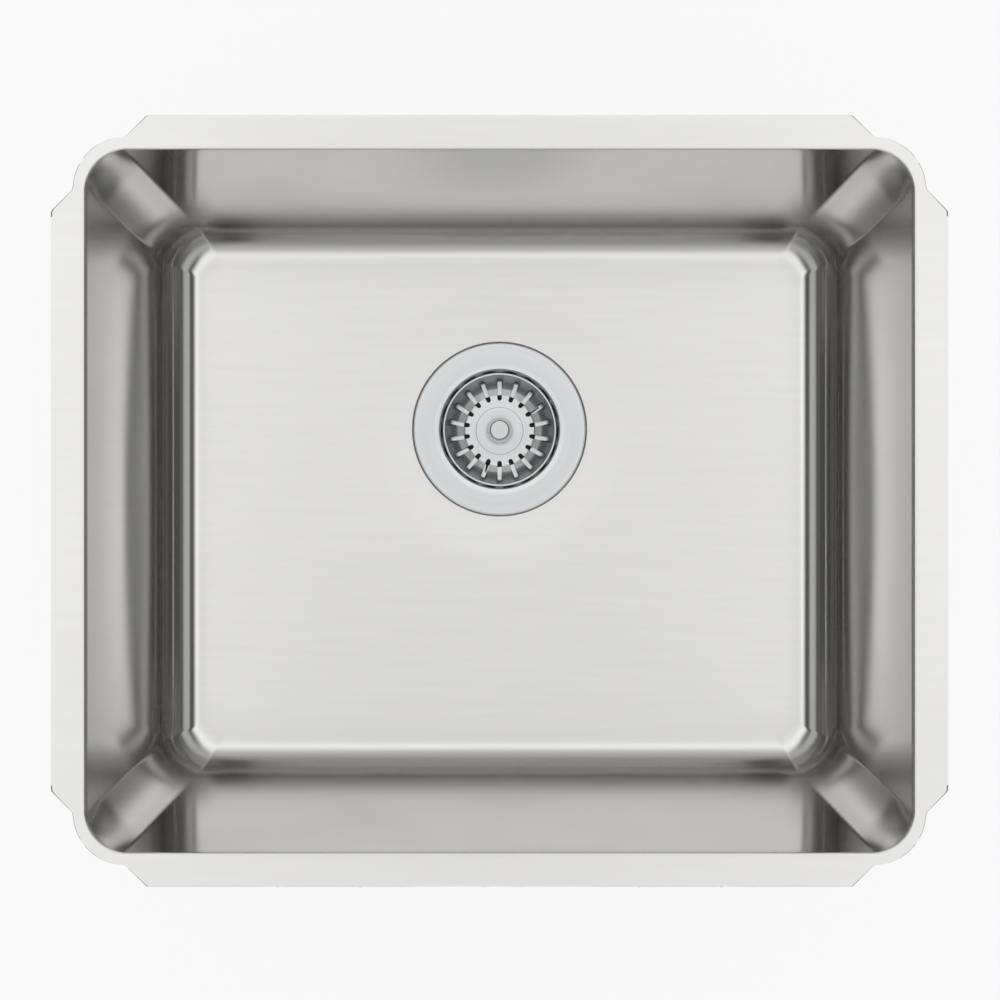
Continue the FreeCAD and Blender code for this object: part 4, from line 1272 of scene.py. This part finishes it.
    def outside_point(self, wall: Vector, along: float, level: float, lift: float) -> Vector:
        """A point on the outside of a wall.

        Args:
            wall: direction that the wall faces away from the bowl.
            along: distance from the wall's middle.
            level: height of the point.
            lift: distance off the outside.

        Returns:
            The point.
        """
        swell = 0.0
        if abs(wall.x) > 0.5:
            half, shape = self.half_width, self.side_wall
            foot_top = shape.foot - self.depth - shape.foot * math.sin(shape.draft)
            straight = self.half_depth - self.corner_radius + level * math.tan(shape.draft)
            swell = self.bow * self._bow_share(min(level / foot_top, 1.0)) * (1 - (along / straight) ** 2)
        else:
            half, shape = self.half_depth, self.front_wall
        draft = shape.draft
        reach = half - self._inset(level, shape) + swell
        normal = (wall * math.cos(draft) + Vector((0, 0, -math.sin(draft)))).normalized()
        side = Vector((-wall.y, wall.x, 0.0))
        return wall * reach + side * along + Vector((0, 0, level)) + normal * (self.gauge + lift)


@dataclass
class SoundPads:
    """Rubber sheets stuck on the outside of the walls and under the floor."""

    shop: Workshop
    bowl: PressedBowl
    thickness: float = 2.5 * MM
    corner: float = 8.0 * MM
    edge_round: float = 0.7 * MM
    edge_rings: int = 5
    hole_radius: float = 94.0 * MM
    inner_scales: tuple[float, ...] = (0.02, 0.35, 0.7)
    outer_scales: tuple[float, ...] = (0.97, 0.8, 0.6, 0.4, 0.2, 0.02)
    under_shares: tuple[float, ...] = (0.03, 0.25, 0.5, 0.75, 0.97)
    over_shares: tuple[float, ...] = (0.33, 0.66, 1.0)

    def build(self) -> None:
        """Makes and dresses the five pads."""
        for side, x, y in (("right", 1, 0), ("back", 0, 1), ("left", -1, 0), ("front", 0, -1)):
            self._wall_pad(f"{side}_sound_pad", Vector((x, y, 0)))
        self._base_pad("base_sound_pad")

    def _outline(self, half_a: float, half_b: float, steps: int = 6, straight: int = 10) -> list[Point]:
        """A rounded rectangle's outline, anticlockwise.

        Args:
            half_a: half its length.
            half_b: half its height.
            steps: straight pieces in each corner.
            straight: straight pieces in each side.

        Returns:
            The outline's points.
        """
        radius = self.corner
        points: list[Point] = []
        corners = ((1, 1), (-1, 1), (-1, -1), (1, -1))
        for index, (x, y) in enumerate(corners):
            centre = (x * (half_a - radius), y * (half_b - radius))
            for piece in range(steps + 1):
                angle = QUARTER_TURN * (index + piece / steps)
                points.append((centre[0] + radius * math.cos(angle), centre[1] + radius * math.sin(angle)))
            following = corners[(index + 1) % 4]
            angle = QUARTER_TURN * (index + 1)
            stop = (following[0] * (half_a - radius) + radius * math.cos(angle),
                    following[1] * (half_b - radius) + radius * math.sin(angle))
            last = points[-1]
            for piece in range(1, straight):
                share = piece / straight
                points.append((last[0] + (stop[0] - last[0]) * share, last[1] + (stop[1] - last[1]) * share))
        return points

    def _edge_steps(self) -> list[Point]:
        """(inset, height) of the rings up the pad's rounded edge."""
        round_ = self.edge_round
        level = self.thickness - round_
        angles = np.linspace(0, QUARTER_TURN, self.edge_rings)
        arc = [(round_ * (1 - math.cos(angle)), level + round_ * math.sin(angle)) for angle in angles]
        return [(0.0, 0.0), *arc]

    def _wall_pad(self, node: str, wall: Vector) -> None:
        """One pad on a wall, shaped to its swell."""
        low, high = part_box(node)
        along_axis = 1 if abs(wall.x) > 0.5 else 0
        half_long = (high[along_axis] - low[along_axis]) / 2
        middle = (high[2] + low[2]) / 2
        half_tall = (high[2] - low[2]) / 2
        outline = self._outline(half_long, half_tall)
        rings: list[list[Vector]] = []

        def ring(inset: float, lift: float, scale: float = 1.0) -> None:
            """Adds a ring of the pad."""
            grow_a = (half_long - inset) / half_long * scale
            grow_b = (half_tall - inset) / half_tall * scale
            places = [(a * grow_a, middle + b * grow_b) for a, b in outline]
            rings.append([self.bowl.outside_point(wall, along, level, lift) for along, level in places])

        for scale in self.inner_scales:
            ring(0.0, 0.0, scale)
        for inset, lift in self._edge_steps():
            ring(inset, lift)
        for scale in self.outer_scales:
            ring(self.edge_round, self.thickness, scale)
        count = len(outline)
        faces = ring_faces(len(rings), count)
        faces.append(tuple(reversed(range(count))))
        faces.append(tuple(range((len(rings) - 1) * count, len(rings) * count)))
        self._finish(node, rings, faces)

    def _finish(self, node: str, rings: Sequence[Sequence[Vector]], faces: Sequence[Sequence[int]]) -> None:
        """Makes a pad of its rings and faces and dresses it."""
        pad = new_object(f"{node}_sheet", [point for row in rings for point in row], faces)
        self.shop.finish_closed(pad, "sound_pad", Body.SINK, node)

    def _base_pad(self, node: str) -> None:
        """The pad under the floor, with its round hole."""
        low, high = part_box(node)
        outline = self._outline(high[0], high[1], steps=8, straight=24)
        centre = Vector((DRAIN.x, DRAIN.y))
        bottom = low[2]

        def outer(inset: float, level: float) -> list[Vector]:
            """A ring near the pad's outer edge."""
            a, b = (high[0] - inset) / high[0], (high[1] - inset) / high[1]
            return [Vector((x * a, y * b, level)) for x, y in outline]

        def inner(inset: float, level: float) -> list[Vector]:
            """A ring near the hole's edge."""
            ring = []
            for x, y in outline:
                away = (Vector((x, y)) - centre).normalized()
                place = centre + away * (self.hole_radius + inset)
                ring.append(Vector((place.x, place.y, level)))
            return ring

        steps = [(inset, bottom + (self.thickness - lift)) for inset, lift in self._edge_steps()]
        rings = [outer(inset, level) for inset, level in steps]
        rings += between(rings[-1], inner(self.edge_round, bottom), self.under_shares)
        rings += [inner(inset, level) for inset, level in reversed(steps)]
        rings += between(rings[-1], rings[0], self.over_shares)
        self._finish(node, rings, ring_faces(len(rings), len(outline)))


# ---------------------------------------------------------------------------------------------
# Waste
# ---------------------------------------------------------------------------------------------
@dataclass(frozen=True)
class KidneySlot:
    """A slot with round ends that runs round the drain.

    Attributes:
        near: radius of its inner side.
        far: radius of its outer side.
        sweep: degrees from the middle of one end to the middle of the other.
    """

    near: float
    far: float
    sweep: float


@dataclass
class StrainerCup:
    """Pressed cup whose flange lies on the bowl's seat."""

    shop: Workshop
    gauge: float = 0.8 * MM
    hole: float = 6.3 * MM
    well: float = 11.5 * MM
    well_depth: float = 10.8 * MM
    floor_radius: float = 35.0 * MM
    floor_depth: float = 38.6 * MM
    floor_ring: Point = (12.9 * MM, 24.0 * MM)
    floor_bend: float = 4.0 * MM
    well_bend: float = 1.2 * MM
    belly: Corner = (39.1 * MM, 26.0 * MM, 3.0 * MM)
    neck: Corner = (39.3 * MM, 12.0 * MM, 4.0 * MM)
    mouth: Corner = (39.9 * MM, 0.45 * MM, 0.8 * MM)
    lip: Corner = (43.6 * MM, 0.0, 2.0 * MM)
    edge_bend: float = 0.35 * MM
    edge_drop: float = 2.0 * MM
    edge_round: float = 0.08 * MM
    gasket_bore: float = 47.0 * MM
    gasket_rise: float = 0.55 * MM
    gasket_bend: float = 0.25 * MM
    slot: KidneySlot = KidneySlot(14.2 * MM, 22.2 * MM, 34.0)
    slots: int = 6
    slot_steps: tuple[int, int] = (9, 13)  # round each end, and along each side
    slot_shares: tuple[float, ...] = (0.0, 0.3, 1.0)
    segments: int = 144

    def build(self) -> None:
        """Makes and dresses the cup and its gasket."""
        top = CUP_HIGH[2]
        rim = CUP_HIGH[0]
        floor = top - self.floor_depth
        well_floor = floor - self.well_depth
        ring_inner, ring_outer = self.floor_ring
        corners = (self.belly, self.neck, self.mouth, self.lip)
        sides = [(radius, top - drop, bend) for radius, drop, bend in corners]
        above = rounded_line([
            (ring_outer, floor, 0.0),
            (self.floor_radius, floor, self.floor_bend),
            *sides,
            (rim, top, self.edge_bend),
            (rim, top - self.edge_drop, 0.0),
        ], step=9.0)
        below = rounded_line([
            (self.hole, well_floor, 0.0),
            (self.well, well_floor, self.well_bend),
            (self.well, floor, self.well_bend),
            (ring_inner, floor, 0.0),
        ], step=15.0)
        outer = self.shop.turn("strainer_cup_pressing", above, self.segments)
        well = self.shop.turn("cup_well", below, self.segments)
        cup = join_pieces(outer, [well, self._slotted_floor(floor, ring_inner, ring_outer)])
        tidy(cup, merge=4e-6)
        face_upwards(cup)
        thicken(cup, self.gauge, self.edge_round)
        smooth(cup, sharp_over=38.0)
        self.shop.finish_piece(cup, "polished_strainer", Body.SINK, "strainer_cup")
        self._gasket()

    def _slotted_floor(self, level: float, inner: float, outer: float) -> bpy.types.Object:
        """The ring of the cup's floor that holds the kidney slots.

        Args:
            level: the floor's level.
            inner: the ring's inner radius.
            outer: its outer radius.

        Returns:
            The ring.
        """
        middle = (self.slot.near + self.slot.far) / 2
        cap = (self.slot.far - self.slot.near) / 2
        half_sector = math.pi / self.slots
        half_slot = math.radians(self.slot.sweep / 2)
        across, along = self.slot_steps
        edge: list[Vector] = []
        hole: list[Vector] = []

        def polar(radius: float, angle: float) -> Vector:
            """A point of the floor."""
            return Vector((radius * math.cos(angle), radius * math.sin(angle), level))

        ways = ((1, outer, inner, self.slot.far), (-1, inner, outer, self.slot.near))
        for side, start, stop, radius in ways:
            for piece in range(along):
                share = side * (-1 + 2 * piece / (along - 1))
                edge.append(polar(start, share * half_sector))
                hole.append(polar(radius, share * half_slot))
            centre = polar(middle, side * half_slot)
            for piece in range(1, across):
                share = piece / across
                edge.append(polar(start + (stop - start) * share, side * half_sector))
                turn = side * (half_slot - QUARTER_TURN) + QUARTER_TURN + math.pi * share
                hole.append(centre + Vector((math.cos(turn), math.sin(turn), 0.0)) * cap)
        rows = between(hole, edge, self.slot_shares)
        points = [point for row in rows for point in row]
        sector = new_object("cup_floor", points, ring_faces(len(rows), len(edge)))
        self.shop.repeat(sector, self.slots)
        return sector

    def _gasket(self) -> None:
        """The gasket under the flange."""
        low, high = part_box("flange_gasket")
        outer = high[0]
        inner = self.gasket_bore
        bend = self.gasket_bend
        profile = rounded_line([
            (inner, low[2], 0.0), (outer, low[2], bend), (outer, high[2], bend),
            (inner, high[2] - self.gasket_rise, bend), (inner, low[2], 0.0),
        ])
        ring = self.shop.turn("flange_gasket_ring", profile)
        self.shop.finish_closed(ring, "gasket_rubber", Body.SINK, "flange_gasket")


@dataclass
class WasteBody:
    """Moulded housing under the floor, with the outlet's thread, the insert's boss and the gasket."""

    shop: Workshop
    wall: float = 3.4 * MM
    ring_radius: float = 56.0 * MM
    ring_thickness: float = 4.5 * MM
    chamber: float = 46.0 * MM
    chamber_depth: float = 20.0 * MM
    funnel_depth: float = 34.0 * MM
    outlet_radius: float = 23.9 * MM
    outer_bend: float = 1.2 * MM
    chamber_bend: float = 3.0 * MM
    funnel_bend: float = 2.0 * MM
    edge_bend: float = 0.4 * MM
    root_bend: float = 0.3 * MM
    thread_pitch: float = 2.309 * MM
    thread_depth: float = 1.2 * MM
    thread_lead: float = 3.0 * MM
    thread_sink: float = 0.25 * MM
    crest: Point = (0.30, 0.42)
    thread_foot: float = 0.72
    thread_spare: float = 0.8
    boss_gap: float = 0.05 * MM
    boss_wall: float = 2.6 * MM
    boss_bends: Point = (0.2 * MM, 0.5 * MM)
    web: float = 3.0 * MM
    web_depth: float = 16.0 * MM
    web_round: float = 0.4 * MM
    webs: int = 4
    gasket_bend: float = 0.5 * MM

    def build(self) -> None:
        """Makes and dresses the housing, its thread and its gasket."""
        low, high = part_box("waste_body")
        top, bottom = high[2], low[2]
        bend, edge = self.outer_bend, self.edge_bend
        root = self.outlet_radius - self.thread_depth
        bore = self.outlet_radius - self.wall
        chamber_end = top - self.chamber_depth
        funnel_end = chamber_end - self.funnel_depth
        thread_top = funnel_end - self.thread_lead
        profile = rounded_line([
            (self.chamber, top - MM, 0.0),
            (self.chamber, top, edge),
            (self.ring_radius, top, bend),
            (self.ring_radius, top - self.ring_thickness, bend),
            (self.chamber + self.wall, top - self.ring_thickness, bend),
            (self.chamber + self.wall, chamber_end, self.chamber_bend),
            (self.outlet_radius, funnel_end, self.funnel_bend),
            (self.outlet_radius, thread_top, edge),
            (root, thread_top - MM, self.root_bend),
            (root, bottom, edge),
            (bore, bottom, edge),
            (bore, funnel_end, self.funnel_bend),
            (self.chamber, chamber_end, self.chamber_bend),
            (self.chamber, top - MM, 0.0),
        ], step=12.0)
        housing = self.shop.turn("waste_body_housing", profile, 112)
        tidy(housing, outward=True)
        pieces = [self._thread(root, thread_top - 2 * MM, bottom + MM), *self._boss(bore)]
        housing = join_pieces(housing, pieces)
        smooth(housing)
        self.shop.finish_piece(housing, "waste_plastic", Body.SINK, "waste_body")
        self._gasket()

    def _thread(self, root: float, top: float, bottom: float) -> bpy.types.Object:
        """The outlet's thread, one ridge that climbs round it.

        Args:
            root: radius of the wall that it stands on.
            top: the highest level that it may reach.
            bottom: the level that it starts from.

        Returns:
            The thread.
        """
        pitch, rise = self.thread_pitch, self.thread_depth
        inside = root - self.thread_sink
        foot = bottom + pitch * self.thread_foot
        ridge = [
            (inside, bottom), (root, bottom),
            (root + rise, bottom + pitch * self.crest[0]), (root + rise, bottom + pitch * self.crest[1]),
            (root, foot), (inside, foot), (inside, bottom),
        ]
        turns = math.floor((top - bottom) / pitch - self.thread_spare)
        thread = self.shop.turn("outlet_thread", ridge, 72 * turns, float(turns), pitch)
        close_ends(thread)
        return thread

    def _boss(self, bore: float) -> list[bpy.types.Object]:
        """The boss round the insert and the webs that carry it, out to the outlet's bore."""
        low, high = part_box("threaded_insert")
        inner = high[0] + self.boss_gap
        ring = ring_profile(inner, inner + self.boss_wall, high[2], low[2], *self.boss_bends)
        boss = self.shop.turn("insert_boss", ring, 64)
        tidy(boss, outward=True)
        near, far = inner + MM, bore + self.wall / 2
        half = self.web / 2
        corners = [(near, -half), (far, -half), (far, half), (near, half)]
        points = [(x, y, level) for level in (low[2], low[2] + self.web_depth) for x, y in corners]
        faces = [(3, 2, 1, 0), (4, 5, 6, 7), (0, 1, 5, 4), (1, 2, 6, 5), (2, 3, 7, 6), (3, 0, 4, 7)]
        web = new_object("boss_web", points, faces)
        round_edges(web, self.web_round)
        apply_modifiers(web)
        self.shop.repeat(web, self.webs)
        return [boss, web]

    def _gasket(self) -> None:
        """The thick gasket between the bowl and the housing."""
        low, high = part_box("underside_gasket")
        bend = self.gasket_bend
        profile = ring_profile(self.chamber, high[0], low[2], high[2], bend, bend)
        ring = self.shop.turn("underside_gasket_ring", profile)
        self.shop.finish_closed(ring, "gasket_rubber", Body.SINK, "underside_gasket")


# ---------------------------------------------------------------------------------------------
# Basket
# ---------------------------------------------------------------------------------------------
@dataclass(frozen=True)
class RadialSlot:
    """A straight slot with round ends that points at the drain.

    Attributes:
        near: distance of its near end from the drain.
        far: distance of its far end.
        width: its width.
    """

    near: float
    far: float
    width: float


@dataclass
class Basket:
    """Slotted basket with its knob and its rubber seal."""

    shop: Workshop
    gauge: float = 0.8 * MM
    gauge_share: float = 0.95
    stem_hole: float = 2.8 * MM
    disc_radius: float = 16.2 * MM
    disc_rise: float = 0.8 * MM
    disc_slope: float = 0.2 * MM
    disc_bend: float = 0.15 * MM
    floor_radius: float = 23.4 * MM
    floor_bend: float = 3.0 * MM
    shoulder: Corner = (30.0 * MM, 2.5 * MM, 2.0 * MM)
    mouth: float = 36.5 * MM
    rim_round: float = 1.0 * MM
    rim_lean: float = 0.25 * MM
    rim_bends: Point = (0.6 * MM, 0.75 * MM)
    rim_fold: float = 1.8 * MM
    edge_round: float = 0.06 * MM
    slot: RadialSlot = RadialSlot(20.6 * MM, 34.6 * MM, 3.0 * MM)
    slots: int = 18
    patch: Point = (19.4 * MM, 35.5 * MM)
    patch_shares: tuple[float, ...] = (0.0, 0.15, 0.5, 1.0)
    # rows beside the slot, in millimetres from the drain: on the patch's border and on the slot's edge
    bend_rows: tuple[float, ...] = (23.0, 24.0, 25.0, 26.0, 27.0, 28.0, 29.0, 30.2, 31.2)
    near_rows: tuple[Point, ...] = ((20.4, 22.15), (21.2, 22.3), (22.1, 22.6))
    far_rows: tuple[Point, ...] = ((32.6, 31.9), (34.2, 32.6))
    columns: int = 9
    knob_waist: float = 1.2 * MM
    knob_foot: float = 0.3 * MM
    knob_bore: Point = (2.55 * MM, 10.3 * MM)
    knob_groove: tuple[Point, Point] = ((8.2 * MM, 9.2 * MM), (11.8 * MM, 12.8 * MM))
    knob_bends: Corner = (0.5 * MM, 1.0 * MM, 1.3 * MM)
    small_bend: float = 0.2 * MM
    seal_hub: float = 18.0 * MM
    seal_lip: float = 24.5 * MM
    seal_droop: Point = (0.5 * MM, 0.3 * MM)
    seal_edge: float = 1.2 * MM

    def build(self) -> None:
        """Makes and dresses the basket, the knob and the seal."""
        self._basket()
        self._knob()
        self._seal()

    def _cone(self) -> list[Point]:
        """The basket's inside from its floor to its mouth."""
        floor = BASKET_LOW[2] + self.gauge
        return rounded_line([
            (self.patch[0], floor, 0.0),
            (self.floor_radius, floor, self.floor_bend),
            (self.shoulder[0], floor + self.shoulder[1], self.shoulder[2]),
            (self.mouth, BASKET_HIGH[2] - self.rim_round, 0.0),
        ], step=6.0)

    def _level(self, radius: float) -> float:
        """Level of the basket's inside at a radius on its floor or cone."""
        line = np.array(self._cone())
        return float(np.interp(radius, line[:, 0], line[:, 1]))

    def _basket(self) -> None:
        """The basket: one sector with its slot, repeated round the drain."""
        floor = BASKET_LOW[2] + self.gauge
        half = math.pi / self.slots
        disc = rounded_line([
            (self.stem_hole, floor + self.disc_rise, 0.0),
            (self.disc_radius - self.disc_slope, floor + self.disc_rise, self.disc_bend),
            (self.disc_radius, floor, self.disc_bend),
            (self.patch[0], floor, 0.0),
        ])
        top = BASKET_HIGH[2]
        reach = BASKET_HIGH[0]
        rim = rounded_line([
            (self.patch[1], self._level(self.patch[1]), 0.0),
            (self.mouth, top - self.rim_round * 1.1, self.rim_bends[0]),
            (self.mouth + self.rim_lean, top, self.rim_bends[0]),
            (reach, top, self.rim_bends[1]),
            (reach, top - self.rim_fold, 0.0),
        ], step=12.0)
        points: list[Vector] = []
        faces: list[tuple[int, ...]] = []
        angles = [half * (-1 + 2 * piece / (self.columns - 1)) for piece in range(self.columns)]
        for line in (disc, rim):
            start = len(points)
            for radius, level in line:
                points.extend(Vector((radius * math.cos(angle), radius * math.sin(angle), level))
                              for angle in angles)
            for row in range(len(line) - 1):
                for column in range(self.columns - 1):
                    a = start + row * self.columns + column
                    faces.append((a, a + 1, a + 1 + self.columns, a + self.columns))
        edge, hole = self._sector_border(angles)
        start = len(points)
        for ring in between(hole, edge, self.patch_shares):
            points.extend(Vector((flat.x, flat.y, self._level(flat.length))) for flat in ring)
        faces += ring_faces(len(self.patch_shares), len(edge), start)
        basket = new_object("strainer_basket_pressing", points, faces)
        self.shop.repeat(basket, self.slots, math.pi / 2)
        tidy(basket, merge=5e-6)
        face_upwards(basket)
        thicken(basket, self.gauge * self.gauge_share, self.edge_round)
        smooth(basket, sharp_over=38.0)
        self.shop.finish_piece(basket, "polished_strainer", Body.BASKET, "strainer_basket")

    def _sector_border(self, angles: Sequence[float]) -> tuple[list[Vector], list[Vector]]:
        """Outer border of a sector's patch and the slot's outline, point for point.

        Args:
            angles: the sector's columns.

        Returns:
            The border's points and the slot's points, flat, in the same order.
        """
        radius = self.slot.width / 2
        near = self.slot.near + radius
        far = self.slot.far - radius
        rows = [*self.near_rows, *zip(self.bend_rows, self.bend_rows), *self.far_rows]
        side_rows = [row * MM for row, _ in rows]
        slot_rows = [row * MM for _, row in rows]
        half = angles[-1]

        def polar(distance: float, angle: float) -> Vector:
            """A flat point."""
            return Vector((distance * math.cos(angle), distance * math.sin(angle)))

        caps = [math.pi * piece / (len(angles) - 1) for piece in range(len(angles))]
        edge: list[Vector] = []
        hole: list[Vector] = []
        for side, border, end in ((1, self.patch[0], near), (-1, self.patch[1], far)):
            edge += [polar(border, side * angle) for angle in angles]
            hole += [Vector((end, 0)) + polar(radius, -side * QUARTER_TURN - cap) for cap in caps]
            edge += [polar(row, side * half) for row in side_rows[::side]]
            hole += [Vector((row, side * radius)) for row in slot_rows[::side]]
        return edge, hole

    def _knob(self) -> None:
        """The knob in the middle, with its finger groove."""
        bottom, top = KNOB_LOW[2], KNOB_HIGH[2]
        radius = KNOB_HIGH[0]
        waist = radius - self.knob_waist
        bore, bore_depth = self.knob_bore
        into, out = self.knob_groove
        lip_bend, waist_bend, top_bend = self.knob_bends
        profile = rounded_line([
            (bore, bottom, 0.0),
            (radius - self.knob_foot, bottom, self.small_bend),
            (radius, bottom + self.knob_foot, self.small_bend),
            (radius, bottom + into[0], lip_bend),
            (waist, bottom + into[1], waist_bend),
            (waist, bottom + out[0], waist_bend),
            (radius, bottom + out[1], lip_bend),
            (radius, top, top_bend),
            (0.0, top, 0.0),
            (0.0, bottom + bore_depth, 0.0),
            (bore, bottom + bore_depth, 0.0),
            (bore, bottom, 0.0),
        ], step=10.0)
        knob = self.shop.turn("basket_knob_turned", profile, 80)
        self.shop.finish_closed(knob, "knob_chrome", Body.BASKET, "basket_knob")

    def _seal(self) -> None:
        """The rubber stopper under the basket, with its drooping lip."""
        low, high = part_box("basket_seal")
        hub, lip = self.seal_hub, self.seal_lip
        middle = (low[2] + high[2]) / 2
        profile = rounded_line([
            (self.stem_hole, middle, 0.0),
            (self.stem_hole, low[2], self.small_bend),
            (hub, low[2], MM),
            (hub + 2 * MM, low[2] + self.seal_droop[0], MM),
            (lip - MM, low[2] + self.seal_droop[1], 0.6 * MM),
            (lip, low[2], 0.15 * MM),
            (lip, low[2] + self.seal_edge, 0.5 * MM),
            (hub, high[2], 1.5 * MM),
            (self.stem_hole, high[2], self.small_bend),
            (self.stem_hole, middle, 0.0),
        ])
        seal = self.shop.turn("basket_seal_disc", profile)
        self.shop.finish_closed(seal, "gasket_rubber", Body.BASKET, "basket_seal")


# ---------------------------------------------------------------------------------------------
# Studio
# ---------------------------------------------------------------------------------------------
@dataclass(frozen=True)
class SoftLamp:
    """A broad studio lamp that points at the sink."""

    name: str
    place: tuple[float, float, float]
    size: tuple[float, float]
    power: float

    def hang(self) -> None:
        """Adds the lamp to the scene."""
        lamp = bpy.data.lights.new(self.name, "AREA")
        lamp.shape = "RECTANGLE"
        lamp.size, lamp.size_y = self.size
        lamp.energy = self.power
        obj = bpy.data.objects.new(self.name, lamp)
        obj.location = self.place
        obj.rotation_mode = "QUATERNION"
        obj.rotation_quaternion = (-Vector(self.place)).to_track_quat("-Z", "Y")
        bpy.context.scene.collection.objects.link(obj)


@dataclass
class Studio:
    """Floor, light and camera."""

    floor_gap: float = 0.3 * MM
    floor_size: float = 14.0
    camera_height: float = 1.136
    camera_offset: Point = (0.28 * MM, 0.57 * MM)
    lens: float = 72.1
    floor_color: Color = (0.85, 0.85, 0.85)
    floor_glow: float = 0.90
    lowest_up: float = 0.05
    ceiling: float = 0.10
    horizon: float = 0.12
    panel: float = 0.84
    panel_x: Point = (0.27, 0.50)
    panel_y: Point = (0.40, 0.95)
    edge_gain: float = 1.3
    edge_from: Point = (0.12, 0.26)
    ring: float = 0.45
    ring_from: Point = (0.70, 0.80)
    ring_to: Point = (1.2, 1.8)
    screens: float = 1.0
    screens_y: Point = (1.0, 3.5)
    lamps: tuple[SoftLamp, ...] = (
        SoftLamp("overhead softbox", (0.0, 0.5, 2.6), (2.4, 1.6), 1.0),
    )

    def build(self) -> None:
        """Sets up the whole studio."""
        self._floor()
        self._world()
        for lamp in self.lamps:
            lamp.hang()
        self._camera()
        bpy.context.scene.view_settings.view_transform = "Standard"

    def _floor(self) -> None:
        """A plain pale floor that looks white and keeps a soft shadow."""
        half = self.floor_size / 2
        level = CAD_LOW[2] - self.floor_gap
        corners = [(x * half, y * half, level) for x, y in ((-1, -1), (1, -1), (1, 1), (-1, 1))]
        floor = new_object("studio_floor", corners, [(0, 1, 2, 3)])
        material = bpy.data.materials.new("studio floor")
        material.use_nodes = True
        material.node_tree.nodes.clear()
        graph = Graph(material.node_tree)
        matte = graph.node("ShaderNodeBsdfDiffuse", {"Color": (*self.floor_color, 1.0)})
        glow = graph.node("ShaderNodeEmission", {"Color": (1.0, 1.0, 1.0, 1.0), "Strength": 1.0})
        path = graph.node("ShaderNodeLightPath")
        seen = graph.math("MAXIMUM", path.outputs["Is Camera Ray"], path.outputs["Is Glossy Ray"])
        share = graph.math("MULTIPLY", seen, self.floor_glow)
        mixed = graph.node("ShaderNodeMixShader", {0: share, 1: matte.outputs[0], 2: glow.outputs[0]})
        out = graph.node("ShaderNodeOutputMaterial")
        graph.feed(out.inputs["Surface"], mixed.outputs[0])
        floor.data.materials.append(material)

    def _world(self) -> None:
        """Soft light from a broad panel overhead, a ring round it and low screens at front and back."""
        world = bpy.data.worlds.new("soft room")
        bpy.context.scene.world = world
        world.use_nodes = True
        world.node_tree.nodes.clear()
        graph = Graph(world.node_tree)
        x, y, up = graph.split(graph.node("ShaderNodeTexCoord").outputs["Generated"])
        room = graph.remap(up, 0.0, 0.95, self.horizon, self.ceiling, smooth=True)
        above = graph.math("MAXIMUM", up, self.lowest_up)
        side_x = graph.math("DIVIDE", graph.math("ABSOLUTE", x), above)
        side_y = graph.math("DIVIDE", graph.math("ABSOLUTE", y), above)
        inside_x = graph.remap(side_x, *self.panel_x, 1.0, 0.0, smooth=True)
        inside_y = graph.remap(side_y, *self.panel_y, 1.0, 0.0, smooth=True)
        from_middle = graph.length(graph.join(side_x, side_y, 0.0))
        gain = graph.remap(from_middle, *self.edge_from, self.panel, self.panel * self.edge_gain, smooth=True)
        panel = graph.math("MULTIPLY", graph.math("MULTIPLY", inside_x, inside_y), gain)
        ring_in = graph.remap(from_middle, *self.ring_from, 0.0, self.ring, smooth=True)
        ring_out = graph.remap(from_middle, *self.ring_to, 1.0, 0.0, smooth=True)
        ring = graph.math("MULTIPLY", ring_in, ring_out)
        screens = graph.remap(side_y, *self.screens_y, 0.0, self.screens, smooth=True)
        level = graph.math("ADD", graph.math("ADD", room, panel), graph.math("ADD", ring, screens))
        path = graph.node("ShaderNodeLightPath")
        strength = graph.node("ShaderNodeMix", {
            "Factor": path.outputs["Is Camera Ray"], 2: level, 3: 1.0,
        }, data_type="FLOAT").outputs[0]
        light = graph.node("ShaderNodeBackground", {"Color": (1.0, 1.0, 1.0, 1.0), "Strength": strength})
        out = graph.node("ShaderNodeOutputWorld")
        graph.feed(out.inputs["Surface"], light.outputs[0])

    def _camera(self) -> None:
        """A camera straight above the bowl, with its top towards the back."""
        data = bpy.data.cameras.new("overhead camera")
        data.lens = self.lens
        data.sensor_width = 36.0
        data.clip_end = 30.0
        camera = bpy.data.objects.new("overhead camera", data)
        camera.location = (*self.camera_offset, self.camera_height)
        bpy.context.scene.collection.objects.link(camera)
        bpy.context.scene.camera = camera


# ---------------------------------------------------------------------------------------------
# Main
# ---------------------------------------------------------------------------------------------
def dress_carried_nodes(shop: Workshop) -> None:
    """Gives every CAD node that still shows its finish.

    Args:
        shop: the workshop that knows which nodes were replaced.
    """
    slots = {part["node"]: part["material_slot"] for part in frame["record"]["subparts"]}
    for name, node in frame["nodes"].items():
        if name not in shop.dressed_nodes:
            shop.finishes.dress(node, slots[name])
            log.info("%s: carried over", name)


def main() -> None:
    """Builds the sink and its studio."""
    logging.basicConfig(level=logging.INFO, format="%(name)s: %(message)s")
    shop = Workshop(ShapeTrees(), Finishes(ShaderGroups()))
    bowl = PressedBowl(shop)
    bowl.build()
    SoundPads(shop, bowl).build()
    StrainerCup(shop).build()
    WasteBody(shop).build()
    Basket(shop).build()
    dress_carried_nodes(shop)
    Studio().build()


if __name__ == "__main__":
    main()
